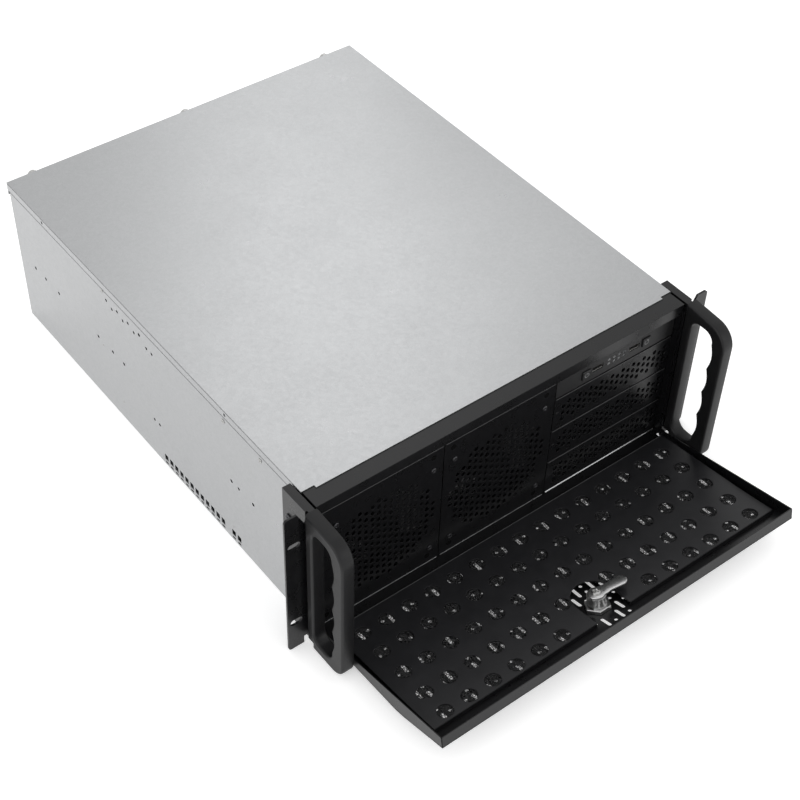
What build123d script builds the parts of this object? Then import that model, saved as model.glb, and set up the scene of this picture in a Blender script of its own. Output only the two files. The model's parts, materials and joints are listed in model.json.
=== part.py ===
"""A 4U rackmount case with a hinged, perforated and lockable front door, open as photographed.

Millimetres. X runs across the case, seen from the front. Y runs from front to back. Z is up.
The origin is on the underside of the case, in the middle of its width, at the cover's front edge.
"""
from build123d import *
from math import atan, cos, hypot, radians, sin
import os

os.makedirs("parts", exist_ok=True)

# Sheets and clearances
steel = 1.0
fit = 0.15
face_gap = 0.5
screw_play = 0.1

# Case body
case_width = 420.0
case_depth = 508.0
case_height = 174.0
cover_flange = 10.0
cover_tab = 3.0
cover_corner = 12.0
top_lip = 8.0
rear_flange = 14.0
cover_screw_x = (-180.0, 0.0, 180.0)
cover_screw_drop = 8.0
cover_screw_z = case_height - cover_screw_drop
thumb_radius = 5.5
thumb_height = 7.0
cover_hole_y = (437.6, 115.1)
half_width = case_width / 2
tray_inside = half_width - steel
cover_under = case_height - steel
rear_face = case_depth - steel - fit
rear_inside = rear_face - steel

# Holes along the sides, as (distance from the front edge, height)
rail_hole = 4.0
rail_height = 85.0
rail_holes = [(y, rail_height) for y in (474.6, 453.5, 426.7, 348.5, 321.0, 300.0, 113.0, 78.2)]
brace_hole = 3.6
brace_holes = [(320.3, 152.6), (310.7, 148.2), (300.5, 152.6), (290.9, 148.2), (281, 152.6), (271.1, 148.2)]
guide_holes = [(249.5, 51), (240.1, 51), (101.3, 85)]
vent_pitch = 9.1
vent_width = 6.0
vent_height = 7.0
vent_low = 7.0
vent_start = 133.4
vent_count = 12
vent_pair_start = 106.2
hem_vent_height = 2.6
hem_vent_low = 2.2

# Front frame
frame_depth = 20.0
frame_side = 1.0
lip_drop = 12.0
frame_tongue = 12.0
panel_plane = 13.0
panel_low = 2.5
panel_high = 151.5
seam = 1.0
panel_back = panel_plane - steel
wall_back = panel_back - steel
frame_inside = half_width - frame_side
panel_edge = frame_inside - face_gap
window_rim = 1.2
sill_reach = 10.0
sill_clear = 3.1

# Fans behind the front panels
fan_size = 120.0
fan_thick = 25.0
fan_pitch = 105.0
fan_bore = 57.5
fan_hole = 2.15
fan_x = (-132.8, -4.0)
fan_z = 74.0
fan_wall = 3.0
fan_corner = 5.0
strut_width = 4.0
bearing_inset = 7.0
hub_inset = 1.5
hub_clear = 2.0
hub_face = 2.0
hub_rim = 2.5
fan_hub = 20.0
fan_boss = 18.0
blade_count = 7
blade_reach = 56.0
blade_thick = 1.6
blade_root = (1.2, 40.0)
blade_tip = (1.6, 56.0)
shaft_radius = 1.5
shaft_play = 0.05
screw_radius = 1.9
screw_head = 3.6
screw_head_height = 1.8

# Perforated field of a fan panel
field_radius = 56.0
field_pitch = 12.0
field_hole = 9.6

# Column of drive bays on the right
column_left = 61.5
column_right = panel_edge
bay_pitch = 42.3
bay_count = 3
bay_low = 3.0
cover_leg = 12.0
cage_depth = 150.0
cage_slot = (22.0, 4.0)
cage_slot_rise = 0.4
bay_hole = 4.6
bay_hole_pitch_x = 6.7
bay_hole_pitch_z = 7.7
bay_hole_columns = 20
bay_field_top = 12.3
bay_field_side = 10.5
bay_stagger = 3.8
column_width = column_right - column_left
column_middle = (column_left + column_right) / 2
bay_top = bay_low + bay_count * bay_pitch
strip_low = bay_top + seam / 2

# Buttons, sockets and lights on the strip above the bays
button_size = 9.6
button_stand = 1.6
button_travel = 1.5
button_play = 0.3
button_stem = 3.0
button_rim = 1.0
button_edge = 0.6
power_x = 97.0
reset_x = 172.5
control_z = 141.5
usb_width = 13.2
usb_height = 5.6
usb_depth = 14.0
usb_x = (112.0, 158.0)
usb_shell = 0.5
usb_floor = 3.0
light_radius = 1.5
light_pitch_x = 6.4
light_pitch_z = 5.0
light_x = 135.5
board_plane = 1.0
board_thick = 1.6
board_height = 16.0
board_end = 17.0
post_radius = 3.0
post_out = 12.0
switch_size = 6.0
switch_height = 4.0

# Drive cages behind the fans
drive_cage_width = 105.0
drive_cage_height = 130.0
drive_cage_depth = 148.0
drive_cage_start = 20.0
drive_slots = 4
drive_slot = (18.0, 4.0)

# Inside of the case
brace_y = 245.0
brace_width = 20.0
brace_height = 12.0
brace_tab = 36.0
brace_screw_y = 4.6
brace_screw_drop = 29.7
brace_screw_z = case_height - brace_screw_drop
standoff_height = 6.4
standoff_flat = 5.0
board_side_x = 85.5
board_first_y = 12.0
standoff_x = (0.0, -157.48, -281.94)
standoff_y = (0.0, 154.94, 227.33)

# Rear panel
slot_count = 7
slot_pitch = 20.32
slot_width = 13.0
slot_height = 104.0
slot_low = 14.0
slot_first_x = -190.0
blank_width = 18.4
blank_height = 116.0
blank_fold = 11.0
shield_width = 158.75
shield_height = 44.45
shield_left = -52.0
shield_low = 8.0
supply_width = 86.0
supply_height = 150.0
supply_left = 119.0
supply_low = 12.0
supply_rim = 6.0
rear_fan = 80.0
rear_fan_x = (-12.0, 72.0)
rear_fan_z = 106.0
rear_slots = 7
rear_slot_width = 6.0
rear_fan_pitch = 71.5

# Rack ears, to the 19 inch rack standard
ear_span = 482.6
ear_slot_span = 465.1
ear_slot_length = 12.4
ear_slot_height = 7.0
ear_slot_pitch = 101.6
ear_thick = 2.0
ear_front = 19.0
ear_corner = 3.5
ear_side_length = 31.0
ear_strip = 12.8
ear_foot = 16.5
ear_notch = 16.0
spacer_thick = 8.5
spacer_front = 22.5
spacer_low = 0.5
spacer_drop = 0.7
spacer_high = case_height - spacer_drop
cover_relief = 2.3
ear_back = ear_front - ear_thick
rack_middle = case_height / 2
spacer_outside = half_width + spacer_thick
ear_side_outside = spacer_outside + ear_thick
ear_screw_inset = 30.0
ear_screw_heights = (ear_screw_inset, rack_middle, case_height - ear_screw_inset)
ear_screw_y = 5.0

# Handles
handle_clear = 0.3
handle_inside = half_width + handle_clear
handle_thick = 13.5
handle_front = 74.5
handle_low = 2.5
handle_rise = 0.8
handle_high = case_height + handle_rise
handle_slope = 3.7
handle_middle = 88.7
handle_nose = 22.0
handle_chin = 15.0
handle_bar = 9.2
handle_grip = 14.5
handle_edge = 1.2
handle_heel = 30.0
heel_low = 9.0
notch_length = 4.5
notch_height = 7.0
notch_inset = 5.1
notch_inside = handle_inside + notch_inset
scallop_pitch = 30.5
scallop_count = 4
scallop_depth = 3.0
gap_low = 14.0
gap_roof = 13.8
gap_high = handle_high - gap_roof
gap_corner = 10.0
bolt_radius = 2.0
bolt_grip = 7.5
bolt_head = 3.5
bolt_head_height = 2.5
bolt_inset = 26.0
bolt_heights = (bolt_inset, case_height - bolt_inset)

# Door, measured along it from the hinge end and inwards from the chord of its side flanges
door_tilt = 11.8
door_y = -20.0
door_z = 7.5
door_gap = 0.4
door_half = frame_inside - door_gap
door_over = 0.3
door_length = case_height + door_over
door_start = 8.0
door_start_depth = 2.5
door_ridge = 113.4
door_ridge_depth = 18.2
door_ridge_radius = 85.0
door_edge_depth = 11.9
pin_u = 4.46
pin_n = -4.86
pin_radius = 1.6
pin_play = 0.06
pin_lobe = 3.6
pin_lug = 4.6
pin_head = 2.7
pin_head_thick = 1.2

# Inner plate of the door, and the filter under it
plate_gap = 6.1
plate_half = door_half - plate_gap
plate_points = [(9.4, -0.3), (118.0, -7.6), (156.0, -8.6)]
plate_hole = 7.75
plate_columns = 15
plate_pitch = 26.12
plate_rows = (29.6, 57.5, 88.2, 118.1, 146.0)
plate_window = 20.0
plate_window_u = 128.0
filter_thick = 2.0
filter_pinch = 1.0
filter_start = 18.0
filter_full = 40.0
filter_end = 154.0
filter_gap = 2.5
filter_half = plate_half - filter_gap

# Perforation of the door skin
skin_slot = (3.6, 13.0)
skin_slot_pitch = plate_pitch / 2
skin_half_columns = 14
skin_lock_clear = 22.0

# Cam lock
lock_x = -1.0
lock_u = 136.0
lock_barrel = 9.0
lock_flat = 8.0
lock_nut_across = 22.0
lock_nut_thick = 4.0
lock_face = 11.5
lock_face_thick = 3.0
lock_reach = 14.3
lock_plug = 5.5
lock_head = 7.0
lock_head_thick = 2.0
key_slot = (2.0, 7.0)
key_depth = 8.0
lever_square = 6.0
lever_screw_grip = 7.0
lever_length = 28.0
lever_hub = 8.2
lever_tip = 5.2
lever_thick = 2.0
lever_turn = 5.0
lever_screw = 2.0
lever_screw_head = 4.2
lever_screw_height = 2.4


# Chassis tray: floor and both sides folded from one sheet
tray_front = wall_back
with BuildPart() as chassis_tray:
    with BuildSketch(Plane.XZ.offset(tray_front)):
        with BuildLine():
            Polyline(
                (-half_width, 0), (half_width, 0), (half_width, cover_under),
                (half_width - top_lip, cover_under), (half_width - top_lip, cover_under - steel),
                (tray_inside, cover_under - steel), (tray_inside, steel),
                (-tray_inside, steel), (-tray_inside, cover_under - steel),
                (top_lip - half_width, cover_under - steel), (top_lip - half_width, cover_under),
                (-half_width, cover_under), close=True,
            )
        make_face()
    extrude(amount=-(tray_front + rear_face))
    with Locations((0, -tray_front / 2, cover_under / 2 + steel)):
        Box(case_width + 2 * steel, tray_front, cover_under, mode=Mode.SUBTRACT)
    with BuildSketch(Plane.YZ):
        with Locations(*rail_holes):
            RegularPolygon(rail_hole / 2, 8)
        with Locations(*brace_holes, *guide_holes):
            RegularPolygon(brace_hole / 2, 8)
        vents = [vent_start + vent_pitch * i for i in range(vent_count)]
        vents += [vent_pair_start, vent_pair_start + vent_pitch]
        with Locations(*[(y, vent_low + vent_height / 2) for y in vents]):
            Rectangle(vent_width, vent_height)
        with Locations(*[(y, hem_vent_low + hem_vent_height / 2) for y in vents]):
            Rectangle(vent_width * 0.8, hem_vent_height)
        with Locations(*[(ear_screw_y, z) for z in ear_screw_heights]):
            Circle(screw_radius + screw_play)
        with GridLocations(2 * brace_screw_y, 1, 2, 1):
            with Locations((brace_y, brace_screw_z)):
                RegularPolygon(brace_hole / 2, 8)
    extrude(amount=half_width + steel, both=True, mode=Mode.SUBTRACT)
chassis_tray.part.label = "chassis_tray"
export_step(chassis_tray.part, "parts/chassis_tray.step")


# Front frame: box round the front, with lip, hinge sill and lugs, and the wall that carries the panels
window_left = column_left + window_rim
window_right = column_right - window_rim
tilt = radians(door_tilt)
pin_y = door_y - pin_u * cos(tilt) + pin_n * sin(tilt)
pin_z = door_z + pin_u * sin(tilt) + pin_n * cos(tilt)
with BuildPart() as front_frame:
    with BuildSketch(Plane.XZ.offset(frame_depth)):
        with Locations((0, cover_under / 2)):
            Rectangle(case_width, cover_under)
            Rectangle(2 * frame_inside, cover_under - 2 * frame_side, mode=Mode.SUBTRACT)
    extrude(amount=-frame_depth)
    with Locations((0, -tray_front / 2, 0)):
        Box(case_width + steel, tray_front, 2 * frame_side, mode=Mode.SUBTRACT)
    with BuildSketch(Plane.XZ.offset(frame_depth)):
        with Locations((0, cover_under - lip_drop / 2)):
            Rectangle(case_width, lip_drop)
    extrude(amount=-frame_side)
    with BuildSketch(Plane.XY.offset(cover_under - frame_side)):
        with Locations((0, frame_tongue / 2)):
            Rectangle(2 * (half_width - top_lip - steel), frame_tongue + frame_side)
    extrude(amount=frame_side)
    with BuildSketch(Plane.XZ.offset(panel_back)):
        with Locations((0, cover_under / 2)):
            Rectangle(2 * frame_inside, cover_under - 2 * frame_side)
        for x in fan_x:
            with Locations((x, fan_z)):
                Circle(fan_bore, mode=Mode.SUBTRACT)
                with GridLocations(fan_pitch, fan_pitch, 2, 2):
                    Circle(fan_hole, mode=Mode.SUBTRACT)
        with Locations(((window_left + window_right) / 2, (bay_low + panel_high - window_rim) / 2)):
            Rectangle(window_right - window_left, panel_high - window_rim - bay_low, mode=Mode.SUBTRACT)
    extrude(amount=-steel)
    with BuildSketch(Plane.XY):
        with Locations((0, -frame_depth - sill_reach / 2)):
            Rectangle(2 * (door_half - sill_clear), sill_reach)
    extrude(amount=frame_side)
    for side in (-1, 1):
        with BuildSketch(Plane.YZ.offset(side * (half_width - frame_side / 2))):
            with Locations((pin_y, pin_z)):
                Circle(pin_lug)
            with Locations(((pin_y - frame_depth) / 2, pin_z)):
                Rectangle(-pin_y - frame_depth, 2 * pin_lug)
            with Locations((pin_y, -pin_lug)):
                Rectangle(4 * pin_lug, 2 * pin_lug, mode=Mode.SUBTRACT)
        extrude(amount=frame_side / 2, both=True)
    with BuildSketch(Plane.YZ):
        with Locations((pin_y, pin_z)):
            Circle(pin_radius)
    extrude(amount=half_width + steel, both=True, mode=Mode.SUBTRACT)
front_frame.part.label = "front_frame"
export_step(front_frame.part, "parts/front_frame.step")


# Cover: top sheet with side flanges, a tab over the front frame and a flange at the back
flange_inside = half_width + fit
flange_outside = flange_inside + steel
with BuildPart() as top_cover:
    with BuildSketch(Plane.XZ):
        with BuildLine():
            Polyline(
                (-flange_outside, case_height), (flange_outside, case_height),
                (flange_outside, case_height - cover_flange), (flange_inside, case_height - cover_flange),
                (flange_inside, cover_under), (-flange_inside, cover_under),
                (-flange_inside, case_height - cover_flange), (-flange_outside, case_height - cover_flange),
                close=True,
            )
        make_face()
    extrude(amount=-case_depth)
    with BuildSketch(Plane.XY.offset(cover_under)):
        with Locations((0, -cover_tab / 2)):
            Rectangle(2 * (half_width - cover_corner), cover_tab)
    extrude(amount=steel)
    with BuildSketch(Plane.XZ.offset(-case_depth)):
        with Locations((0, case_height - rear_flange / 2)):
            Rectangle(2 * flange_outside, rear_flange)
        with Locations(*[(x, cover_screw_z) for x in cover_screw_x]):
            Circle(screw_radius + screw_play, mode=Mode.SUBTRACT)
    extrude(amount=steel)
    with BuildSketch(Plane.YZ):
        with Locations(*[(y, case_height - cover_flange / 2) for y in cover_hole_y]):
            RegularPolygon(brace_hole / 2, 8)
    extrude(amount=flange_outside + steel, both=True, mode=Mode.SUBTRACT)
top_cover.part.label = "top_cover"
export_step(top_cover.part, "parts/top_cover.step")


# Rear panel with the openings for cards, board connectors, power supply and fans
slot_middle = slot_low + slot_height / 2
with BuildPart() as rear_panel:
    with BuildSketch(Plane.XZ.offset(-rear_face)):
        with Locations((0, cover_under / 2)):
            Rectangle(2 * tray_inside, cover_under - 2 * steel)
        with Locations(*[(slot_first_x + slot_pitch * i, slot_middle) for i in range(slot_count)]):
            Rectangle(slot_width, slot_height, mode=Mode.SUBTRACT)
        with Locations((shield_left + shield_width / 2, shield_low + shield_height / 2)):
            Rectangle(shield_width, shield_height, mode=Mode.SUBTRACT)
        with Locations((supply_left + supply_width / 2, supply_low + supply_height / 2)):
            Rectangle(supply_width - 2 * supply_rim, supply_height - 2 * supply_rim, mode=Mode.SUBTRACT)
            with GridLocations(supply_width - supply_rim, supply_height - supply_rim, 2, 2):
                Circle(screw_radius, mode=Mode.SUBTRACT)
        for x in rear_fan_x:
            with Locations((x, rear_fan_z)):
                with GridLocations(rear_fan_pitch, rear_fan_pitch, 2, 2):
                    Circle(fan_hole, mode=Mode.SUBTRACT)
            for i in range(rear_slots):
                step = (i - (rear_slots - 1) / 2) * (rear_fan - 2 * supply_rim) / rear_slots
                reach = 2 * (rear_fan / 2 - supply_rim / 2)
                length = (reach**2 - (2 * abs(step) + rear_slot_width) ** 2) ** 0.5
                with Locations((x + step, rear_fan_z)):
                    Rectangle(rear_slot_width, length, mode=Mode.SUBTRACT)
        with Locations(*[(x, cover_screw_z) for x in cover_screw_x]):
            Circle(screw_radius + screw_play, mode=Mode.SUBTRACT)
    extrude(amount=steel)
rear_panel.part.label = "rear_panel"
export_step(rear_panel.part, "parts/rear_panel.step")


# Blanking brackets behind the card slots
for i in range(slot_count):
    with BuildPart() as blank:
        with BuildSketch(Plane.YZ.offset(slot_first_x + slot_pitch * i - blank_width / 2)):
            with BuildLine():
                low = slot_middle - blank_height / 2
                top = slot_middle + blank_height / 2
                Polyline(
                    (rear_inside, low), (rear_inside, top), (rear_inside - blank_fold, top),
                    (rear_inside - blank_fold, top - steel), (rear_inside - steel, top - steel),
                    (rear_inside - steel, low), close=True,
                )
            make_face()
        extrude(amount=blank_width)
    blank.part.label = f"slot_blank_{i + 1}"
    export_step(blank.part, f"parts/slot_blank_{i + 1}.step")


# Panels in front of the two fans, each with a round perforated field
panel_spans = {
    "left": (-panel_edge, (fan_x[0] + fan_x[1]) / 2 - seam, fan_x[0]),
    "centre": ((fan_x[0] + fan_x[1]) / 2, column_left - seam, fan_x[1]),
}
row_step = field_pitch * sin(radians(60))
rows = int(field_radius / row_step)
field_grid = [
    (field_pitch * (n + row % 2 / 2), row_step * row)
    for row in range(-rows, rows + 1) for n in range(-rows - 1, rows + 2)
]
field_holes = [point for point in field_grid if hypot(*point) < field_radius - field_hole / 2]
for place, (left, right, middle) in panel_spans.items():
    with BuildPart() as fan_panel:
        with BuildSketch(Plane.XZ.offset(panel_plane)):
            with Locations(((left + right) / 2, (panel_low + panel_high) / 2)):
                Rectangle(right - left, panel_high - panel_low)
            with Locations((middle, fan_z)):
                with GridLocations(fan_pitch, fan_pitch, 2, 2):
                    Circle(fan_hole, mode=Mode.SUBTRACT)
                with Locations(*field_holes):
                    RegularPolygon(field_hole / 2, 6, rotation=30, mode=Mode.SUBTRACT)
        extrude(amount=-steel)
    fan_panel.part.label = f"fan_panel_{place}"
    export_step(fan_panel.part, f"parts/fan_panel_{place}.step")


# The two front fans: a square frame with the bearing on its back struts, and a rotor on its own shaft
fan_front = -wall_back
fan_back = fan_front + fan_thick
strut_front = fan_back - fan_wall
bearing_front = fan_front + bearing_inset
hub_front = fan_front + hub_inset
hub_back = strut_front - hub_clear
hub_length = hub_back - hub_front
for place, x in zip(("left", "centre"), fan_x):
    with BuildPart() as fan_frame:
        with BuildSketch(Plane.XZ.offset(-fan_front)):
            with Locations((x, fan_z)):
                RectangleRounded(fan_size, fan_size, fan_corner)
                Circle(fan_bore, mode=Mode.SUBTRACT)
                with GridLocations(fan_pitch, fan_pitch, 2, 2):
                    Circle(fan_hole, mode=Mode.SUBTRACT)
        extrude(amount=-fan_thick)
        with BuildSketch(Plane.XZ.offset(-strut_front)):
            with Locations((x, fan_z)):
                Rectangle(strut_width, 2 * fan_bore + steel)
                Rectangle(2 * fan_bore + steel, strut_width)
                Circle(fan_boss)
        extrude(amount=-fan_wall)
        with BuildSketch(Plane.XZ.offset(-bearing_front)):
            with Locations((x, fan_z)):
                Circle(3 * shaft_radius)
        extrude(amount=bearing_front - strut_front)
        with BuildSketch(Plane.XZ.offset(-bearing_front)):
            with Locations((x, fan_z)):
                Circle(shaft_radius + shaft_play)
        extrude(amount=bearing_front - fan_back, mode=Mode.SUBTRACT)
    fan_frame.part.label = f"fan_frame_{place}"
    export_step(fan_frame.part, f"parts/fan_frame_{place}.step")

    with BuildPart() as fan_rotor:
        with BuildSketch(Plane.XZ.offset(-hub_front)):
            with Locations((x, fan_z)):
                Circle(fan_hub)
        extrude(amount=-hub_length)
        with BuildSketch(Plane.XZ.offset(-hub_front - hub_face)):
            with Locations((x, fan_z)):
                Circle(fan_hub - hub_rim)
        extrude(amount=hub_face - hub_length, mode=Mode.SUBTRACT)
        with BuildSketch(Plane.XZ.offset(-hub_front - hub_face / 2)):
            with Locations((x, fan_z)):
                Circle(shaft_radius)
        extrude(amount=hub_front + hub_face / 2 - strut_front)
        for i in range(blade_count):
            turn = radians(360 / blade_count * i)
            out = Vector(sin(turn), 0, cos(turn))
            centre = Vector(x, hub_front + hub_length / 2, fan_z)
            root = centre + out * (fan_hub - hub_rim / 2)
            with BuildSketch(Plane(origin=root, x_dir=(0, 1, 0), z_dir=out)):
                Rectangle(hub_length * blade_root[0], blade_thick, rotation=blade_root[1])
            with BuildSketch(Plane(origin=centre + out * blade_reach, x_dir=(0, 1, 0), z_dir=out)):
                Rectangle(hub_length * blade_tip[0], blade_thick, rotation=blade_tip[1])
            loft(ruled=True)
    fan_rotor.part.label = f"fan_rotor_{place}"
    export_step(fan_rotor.part, f"parts/fan_rotor_{place}.step")


# Screws through each fan panel into its fan
with BuildPart() as fan_screws:
    for x in fan_x:
        with BuildSketch(Plane.XZ.offset(panel_plane)):
            with Locations((x, fan_z)):
                with GridLocations(fan_pitch, fan_pitch, 2, 2):
                    Circle(screw_radius)
        extrude(amount=-panel_plane)
        with BuildSketch(Plane.XZ.offset(panel_plane)):
            with Locations((x, fan_z)):
                with GridLocations(fan_pitch, fan_pitch, 2, 2):
                    Circle(screw_head)
        extrude(amount=screw_head_height)
fan_screws.part.label = "fan_screws"
export_step(fan_screws.part, "parts/fan_screws.step")


# Perforated covers of the three drive bays, each with two legs into the cage
def bay_lattice(low):
    """Centres of a cover's holes: columns of three, every second column lower."""
    top = low + bay_pitch - seam - bay_field_top
    first = column_left + bay_field_side
    return [
        (first + bay_hole_pitch_x * i, top - bay_hole_pitch_z * k - bay_stagger * (i % 2))
        for i in range(bay_hole_columns) for k in range(3)
    ]


for bay, name in enumerate(("bottom", "middle", "top")):
    low = bay_low + bay_pitch * bay
    with BuildPart() as bay_cover:
        with BuildSketch(Plane.XZ.offset(panel_plane)):
            with Locations((column_middle, low + (bay_pitch - seam) / 2)):
                Rectangle(column_width, bay_pitch - seam)
            with Locations(*bay_lattice(low)):
                RegularPolygon(bay_hole / 2, 4, mode=Mode.SUBTRACT)
        extrude(amount=-steel)
        with BuildSketch(Plane.XZ.offset(panel_back)):
            with Locations((column_middle, low + (bay_pitch - seam) / 2)):
                Rectangle(window_right - window_left - 2 * fit, bay_pitch - 4 * seam)
                Rectangle(window_right - window_left - 2 * fit - 2 * steel, bay_pitch, mode=Mode.SUBTRACT)
        extrude(amount=-cover_leg)
    bay_cover.part.label = f"bay_cover_{name}"
    export_step(bay_cover.part, f"parts/bay_cover_{name}.step")


# Cage of the drive bays, open at the front and the back
cage_top = bay_top + steel
bay_cage_left = column_left - fit
with BuildPart() as bay_cage:
    with BuildSketch(Plane.XZ.offset(wall_back)):
        with BuildLine():
            Polyline(
                (bay_cage_left, steel), (tray_inside, steel), (tray_inside, cage_top + steel),
                (bay_cage_left, cage_top + steel), close=True,
            )
        make_face()
        with BuildLine():
            Polyline((bay_cage_left + steel, 2 * steel), (tray_inside - steel, 2 * steel),
                     (tray_inside - steel, cage_top), (bay_cage_left + steel, cage_top), close=True)
        make_face(mode=Mode.SUBTRACT)
    extrude(amount=-cage_depth - wall_back)
    with BuildSketch(Plane.YZ.offset(bay_cage_left - steel)):
        for bay in range(bay_count):
            with Locations((cage_depth / 2, bay_low + bay_pitch * (bay + cage_slot_rise))):
                with GridLocations(cage_depth / 2, 1, 2, 1):
                    SlotOverall(*cage_slot)
    extrude(amount=3 * steel, mode=Mode.SUBTRACT)
bay_cage.part.label = "bay_cage"
export_step(bay_cage.part, "parts/bay_cage.step")


# Cages for the small drives, one behind each fan
for place, x in zip(("left", "centre"), fan_x):
    with BuildPart() as drive_cage:
        with BuildSketch(Plane.XZ.offset(-drive_cage_start)):
            with Locations((x, steel + drive_cage_height / 2)):
                Rectangle(drive_cage_width, drive_cage_height)
                Rectangle(drive_cage_width - 2 * steel, drive_cage_height - 2 * steel, mode=Mode.SUBTRACT)
        extrude(amount=-drive_cage_depth)
        with BuildSketch(Plane.YZ.offset(x)):
            with Locations((drive_cage_start + drive_cage_depth / 2, steel + drive_cage_height / 2)):
                with GridLocations(drive_cage_depth / 2, drive_cage_height / drive_slots, 2, drive_slots):
                    SlotOverall(*drive_slot)
        extrude(amount=drive_cage_width, both=True, mode=Mode.SUBTRACT)
    drive_cage.part.label = f"drive_cage_{place}"
    export_step(drive_cage.part, f"parts/drive_cage_{place}.step")


# Strip above the bays, with its openings and the two posts that hold the circuit board
hole_size = button_size + 2 * button_play
with BuildPart() as control_strip:
    with BuildSketch(Plane.XZ.offset(panel_plane)):
        with Locations((column_middle, (strip_low + panel_high) / 2)):
            Rectangle(column_width, panel_high - strip_low)
        with Locations((power_x, control_z), (reset_x, control_z)):
            Rectangle(hole_size, hole_size, mode=Mode.SUBTRACT)
        with Locations(*[(x, control_z) for x in usb_x]):
            Rectangle(usb_width + 2 * fit, usb_height + 2 * fit, mode=Mode.SUBTRACT)
        with Locations((light_x, control_z)):
            with GridLocations(light_pitch_x, light_pitch_z, 4, 2):
                Circle(light_radius + screw_play, mode=Mode.SUBTRACT)
    extrude(amount=-steel)
    with BuildSketch(Plane.XZ.offset(panel_back)):
        with Locations((power_x - post_out, control_z), (reset_x + post_out, control_z)):
            Circle(post_radius)
    extrude(amount=-panel_back - board_plane)
control_strip.part.label = "control_strip"
export_step(control_strip.part, "parts/control_strip.step")


# Circuit board behind the strip, with a switch for each button
with BuildPart() as control_board:
    with BuildSketch(Plane.XZ.offset(-board_plane)):
        with Locations(((power_x + reset_x) / 2, control_z)):
            Rectangle(reset_x - power_x + 2 * board_end, board_height)
    extrude(amount=-board_thick)
control_board.part.label = "control_board"
export_step(control_board.part, "parts/control_board.step")

with BuildPart() as switches:
    with BuildSketch(Plane.XZ.offset(-board_plane)):
        with Locations((power_x, control_z), (reset_x, control_z)):
            Rectangle(switch_size, switch_size)
    extrude(amount=switch_height)
switches.part.label = "switches"
export_step(switches.part, "parts/switches.step")


# Sprung buttons, each held behind the strip by its rim
switch_front = board_plane - switch_height
for name, x in (("power", power_x), ("reset", reset_x)):
    with BuildPart() as button:
        with BuildSketch(Plane.XZ.offset(panel_plane + button_stand)):
            with Locations((x, control_z)):
                Rectangle(button_size, button_size)
        extrude(amount=-button_stand - steel - fit)
        chamfer(button.faces().sort_by(Axis.Y)[0].edges(), button_edge)
        with BuildSketch(Plane.XZ.offset(panel_back - fit)):
            with Locations((x, control_z)):
                Rectangle(hole_size + 2 * button_rim, hole_size + 2 * button_rim)
        extrude(amount=-button_rim)
        with BuildSketch(Plane.XZ.offset(panel_back - fit - button_rim)):
            with Locations((x, control_z)):
                Circle(button_stem / 2)
        extrude(amount=-(panel_back - fit - button_rim + switch_front - button_travel - fit))
    button.part.label = f"{name}_button"
    export_step(button.part, f"parts/{name}_button.step")


# Two sockets: a folded shell with a contact tongue
for number, x in enumerate(usb_x, start=1):
    with BuildPart() as usb_socket:
        with BuildSketch(Plane.XZ.offset(panel_plane)):
            with Locations((x, control_z)):
                Rectangle(usb_width, usb_height)
        extrude(amount=-panel_plane - board_plane)
        with BuildSketch(Plane.XZ.offset(panel_plane)):
            with Locations((x, control_z)):
                Rectangle(usb_width - 2 * usb_shell, usb_height - 2 * usb_shell)
            with Locations((x, control_z + usb_height / 5)):
                Rectangle(usb_width - 4 * usb_shell, usb_height / 4, mode=Mode.SUBTRACT)
        extrude(amount=usb_floor - usb_depth, mode=Mode.SUBTRACT)
    usb_socket.part.label = f"usb_socket_{number}"
    export_step(usb_socket.part, f"parts/usb_socket_{number}.step")


# Light guide: eight clear rods on one bar
with BuildPart() as light_guide:
    with BuildSketch(Plane.XZ.offset(panel_plane)):
        with Locations((light_x, control_z)):
            with GridLocations(light_pitch_x, light_pitch_z, 4, 2):
                Circle(light_radius)
    extrude(amount=-panel_plane)
    with BuildSketch(Plane.XZ):
        with Locations((light_x, control_z)):
            Rectangle(4 * light_pitch_x, 2 * light_pitch_z)
    extrude(amount=-board_plane)
light_guide.part.label = "light_guide"
export_step(light_guide.part, "parts/light_guide.step")


# Brace across the case, with a tab down each side
with BuildPart() as cross_brace:
    with BuildSketch(Plane.YZ):
        with BuildLine():
            top = cover_under - steel - fit
            near = brace_y - brace_width / 2
            far = brace_y + brace_width / 2
            Polyline(
                (near, top - brace_height), (near, top), (far, top), (far, top - brace_height),
                (far - steel, top - brace_height), (far - steel, top - steel),
                (near + steel, top - steel), (near + steel, top - brace_height), close=True,
            )
        make_face()
    extrude(amount=tray_inside - fit, both=True)
    for side in (-1, 1):
        with BuildSketch(Plane.YZ.offset(side * (tray_inside - fit - steel / 2))):
            with Locations((brace_y, top - brace_tab / 2)):
                Rectangle(brace_width, brace_tab)
        extrude(amount=steel / 2, both=True)
    with BuildSketch(Plane.YZ):
        with Locations((brace_y, brace_screw_z)):
            with GridLocations(2 * brace_screw_y, 1, 2, 1):
                Circle(brace_hole / 2)
    extrude(amount=half_width, both=True, mode=Mode.SUBTRACT)
cross_brace.part.label = "cross_brace"
export_step(cross_brace.part, "parts/cross_brace.step")


# Standoffs for the main board
with BuildPart() as standoffs:
    with BuildSketch(Plane.XY.offset(steel)):
        board_back = rear_inside - board_first_y
        with Locations(*[(board_side_x + x, board_back - y) for x in standoff_x for y in standoff_y]):
            RegularPolygon(standoff_flat / 2, 6, major_radius=False)
    extrude(amount=standoff_height)
standoffs.part.label = "standoffs"
export_step(standoffs.part, "parts/standoffs.step")


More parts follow.
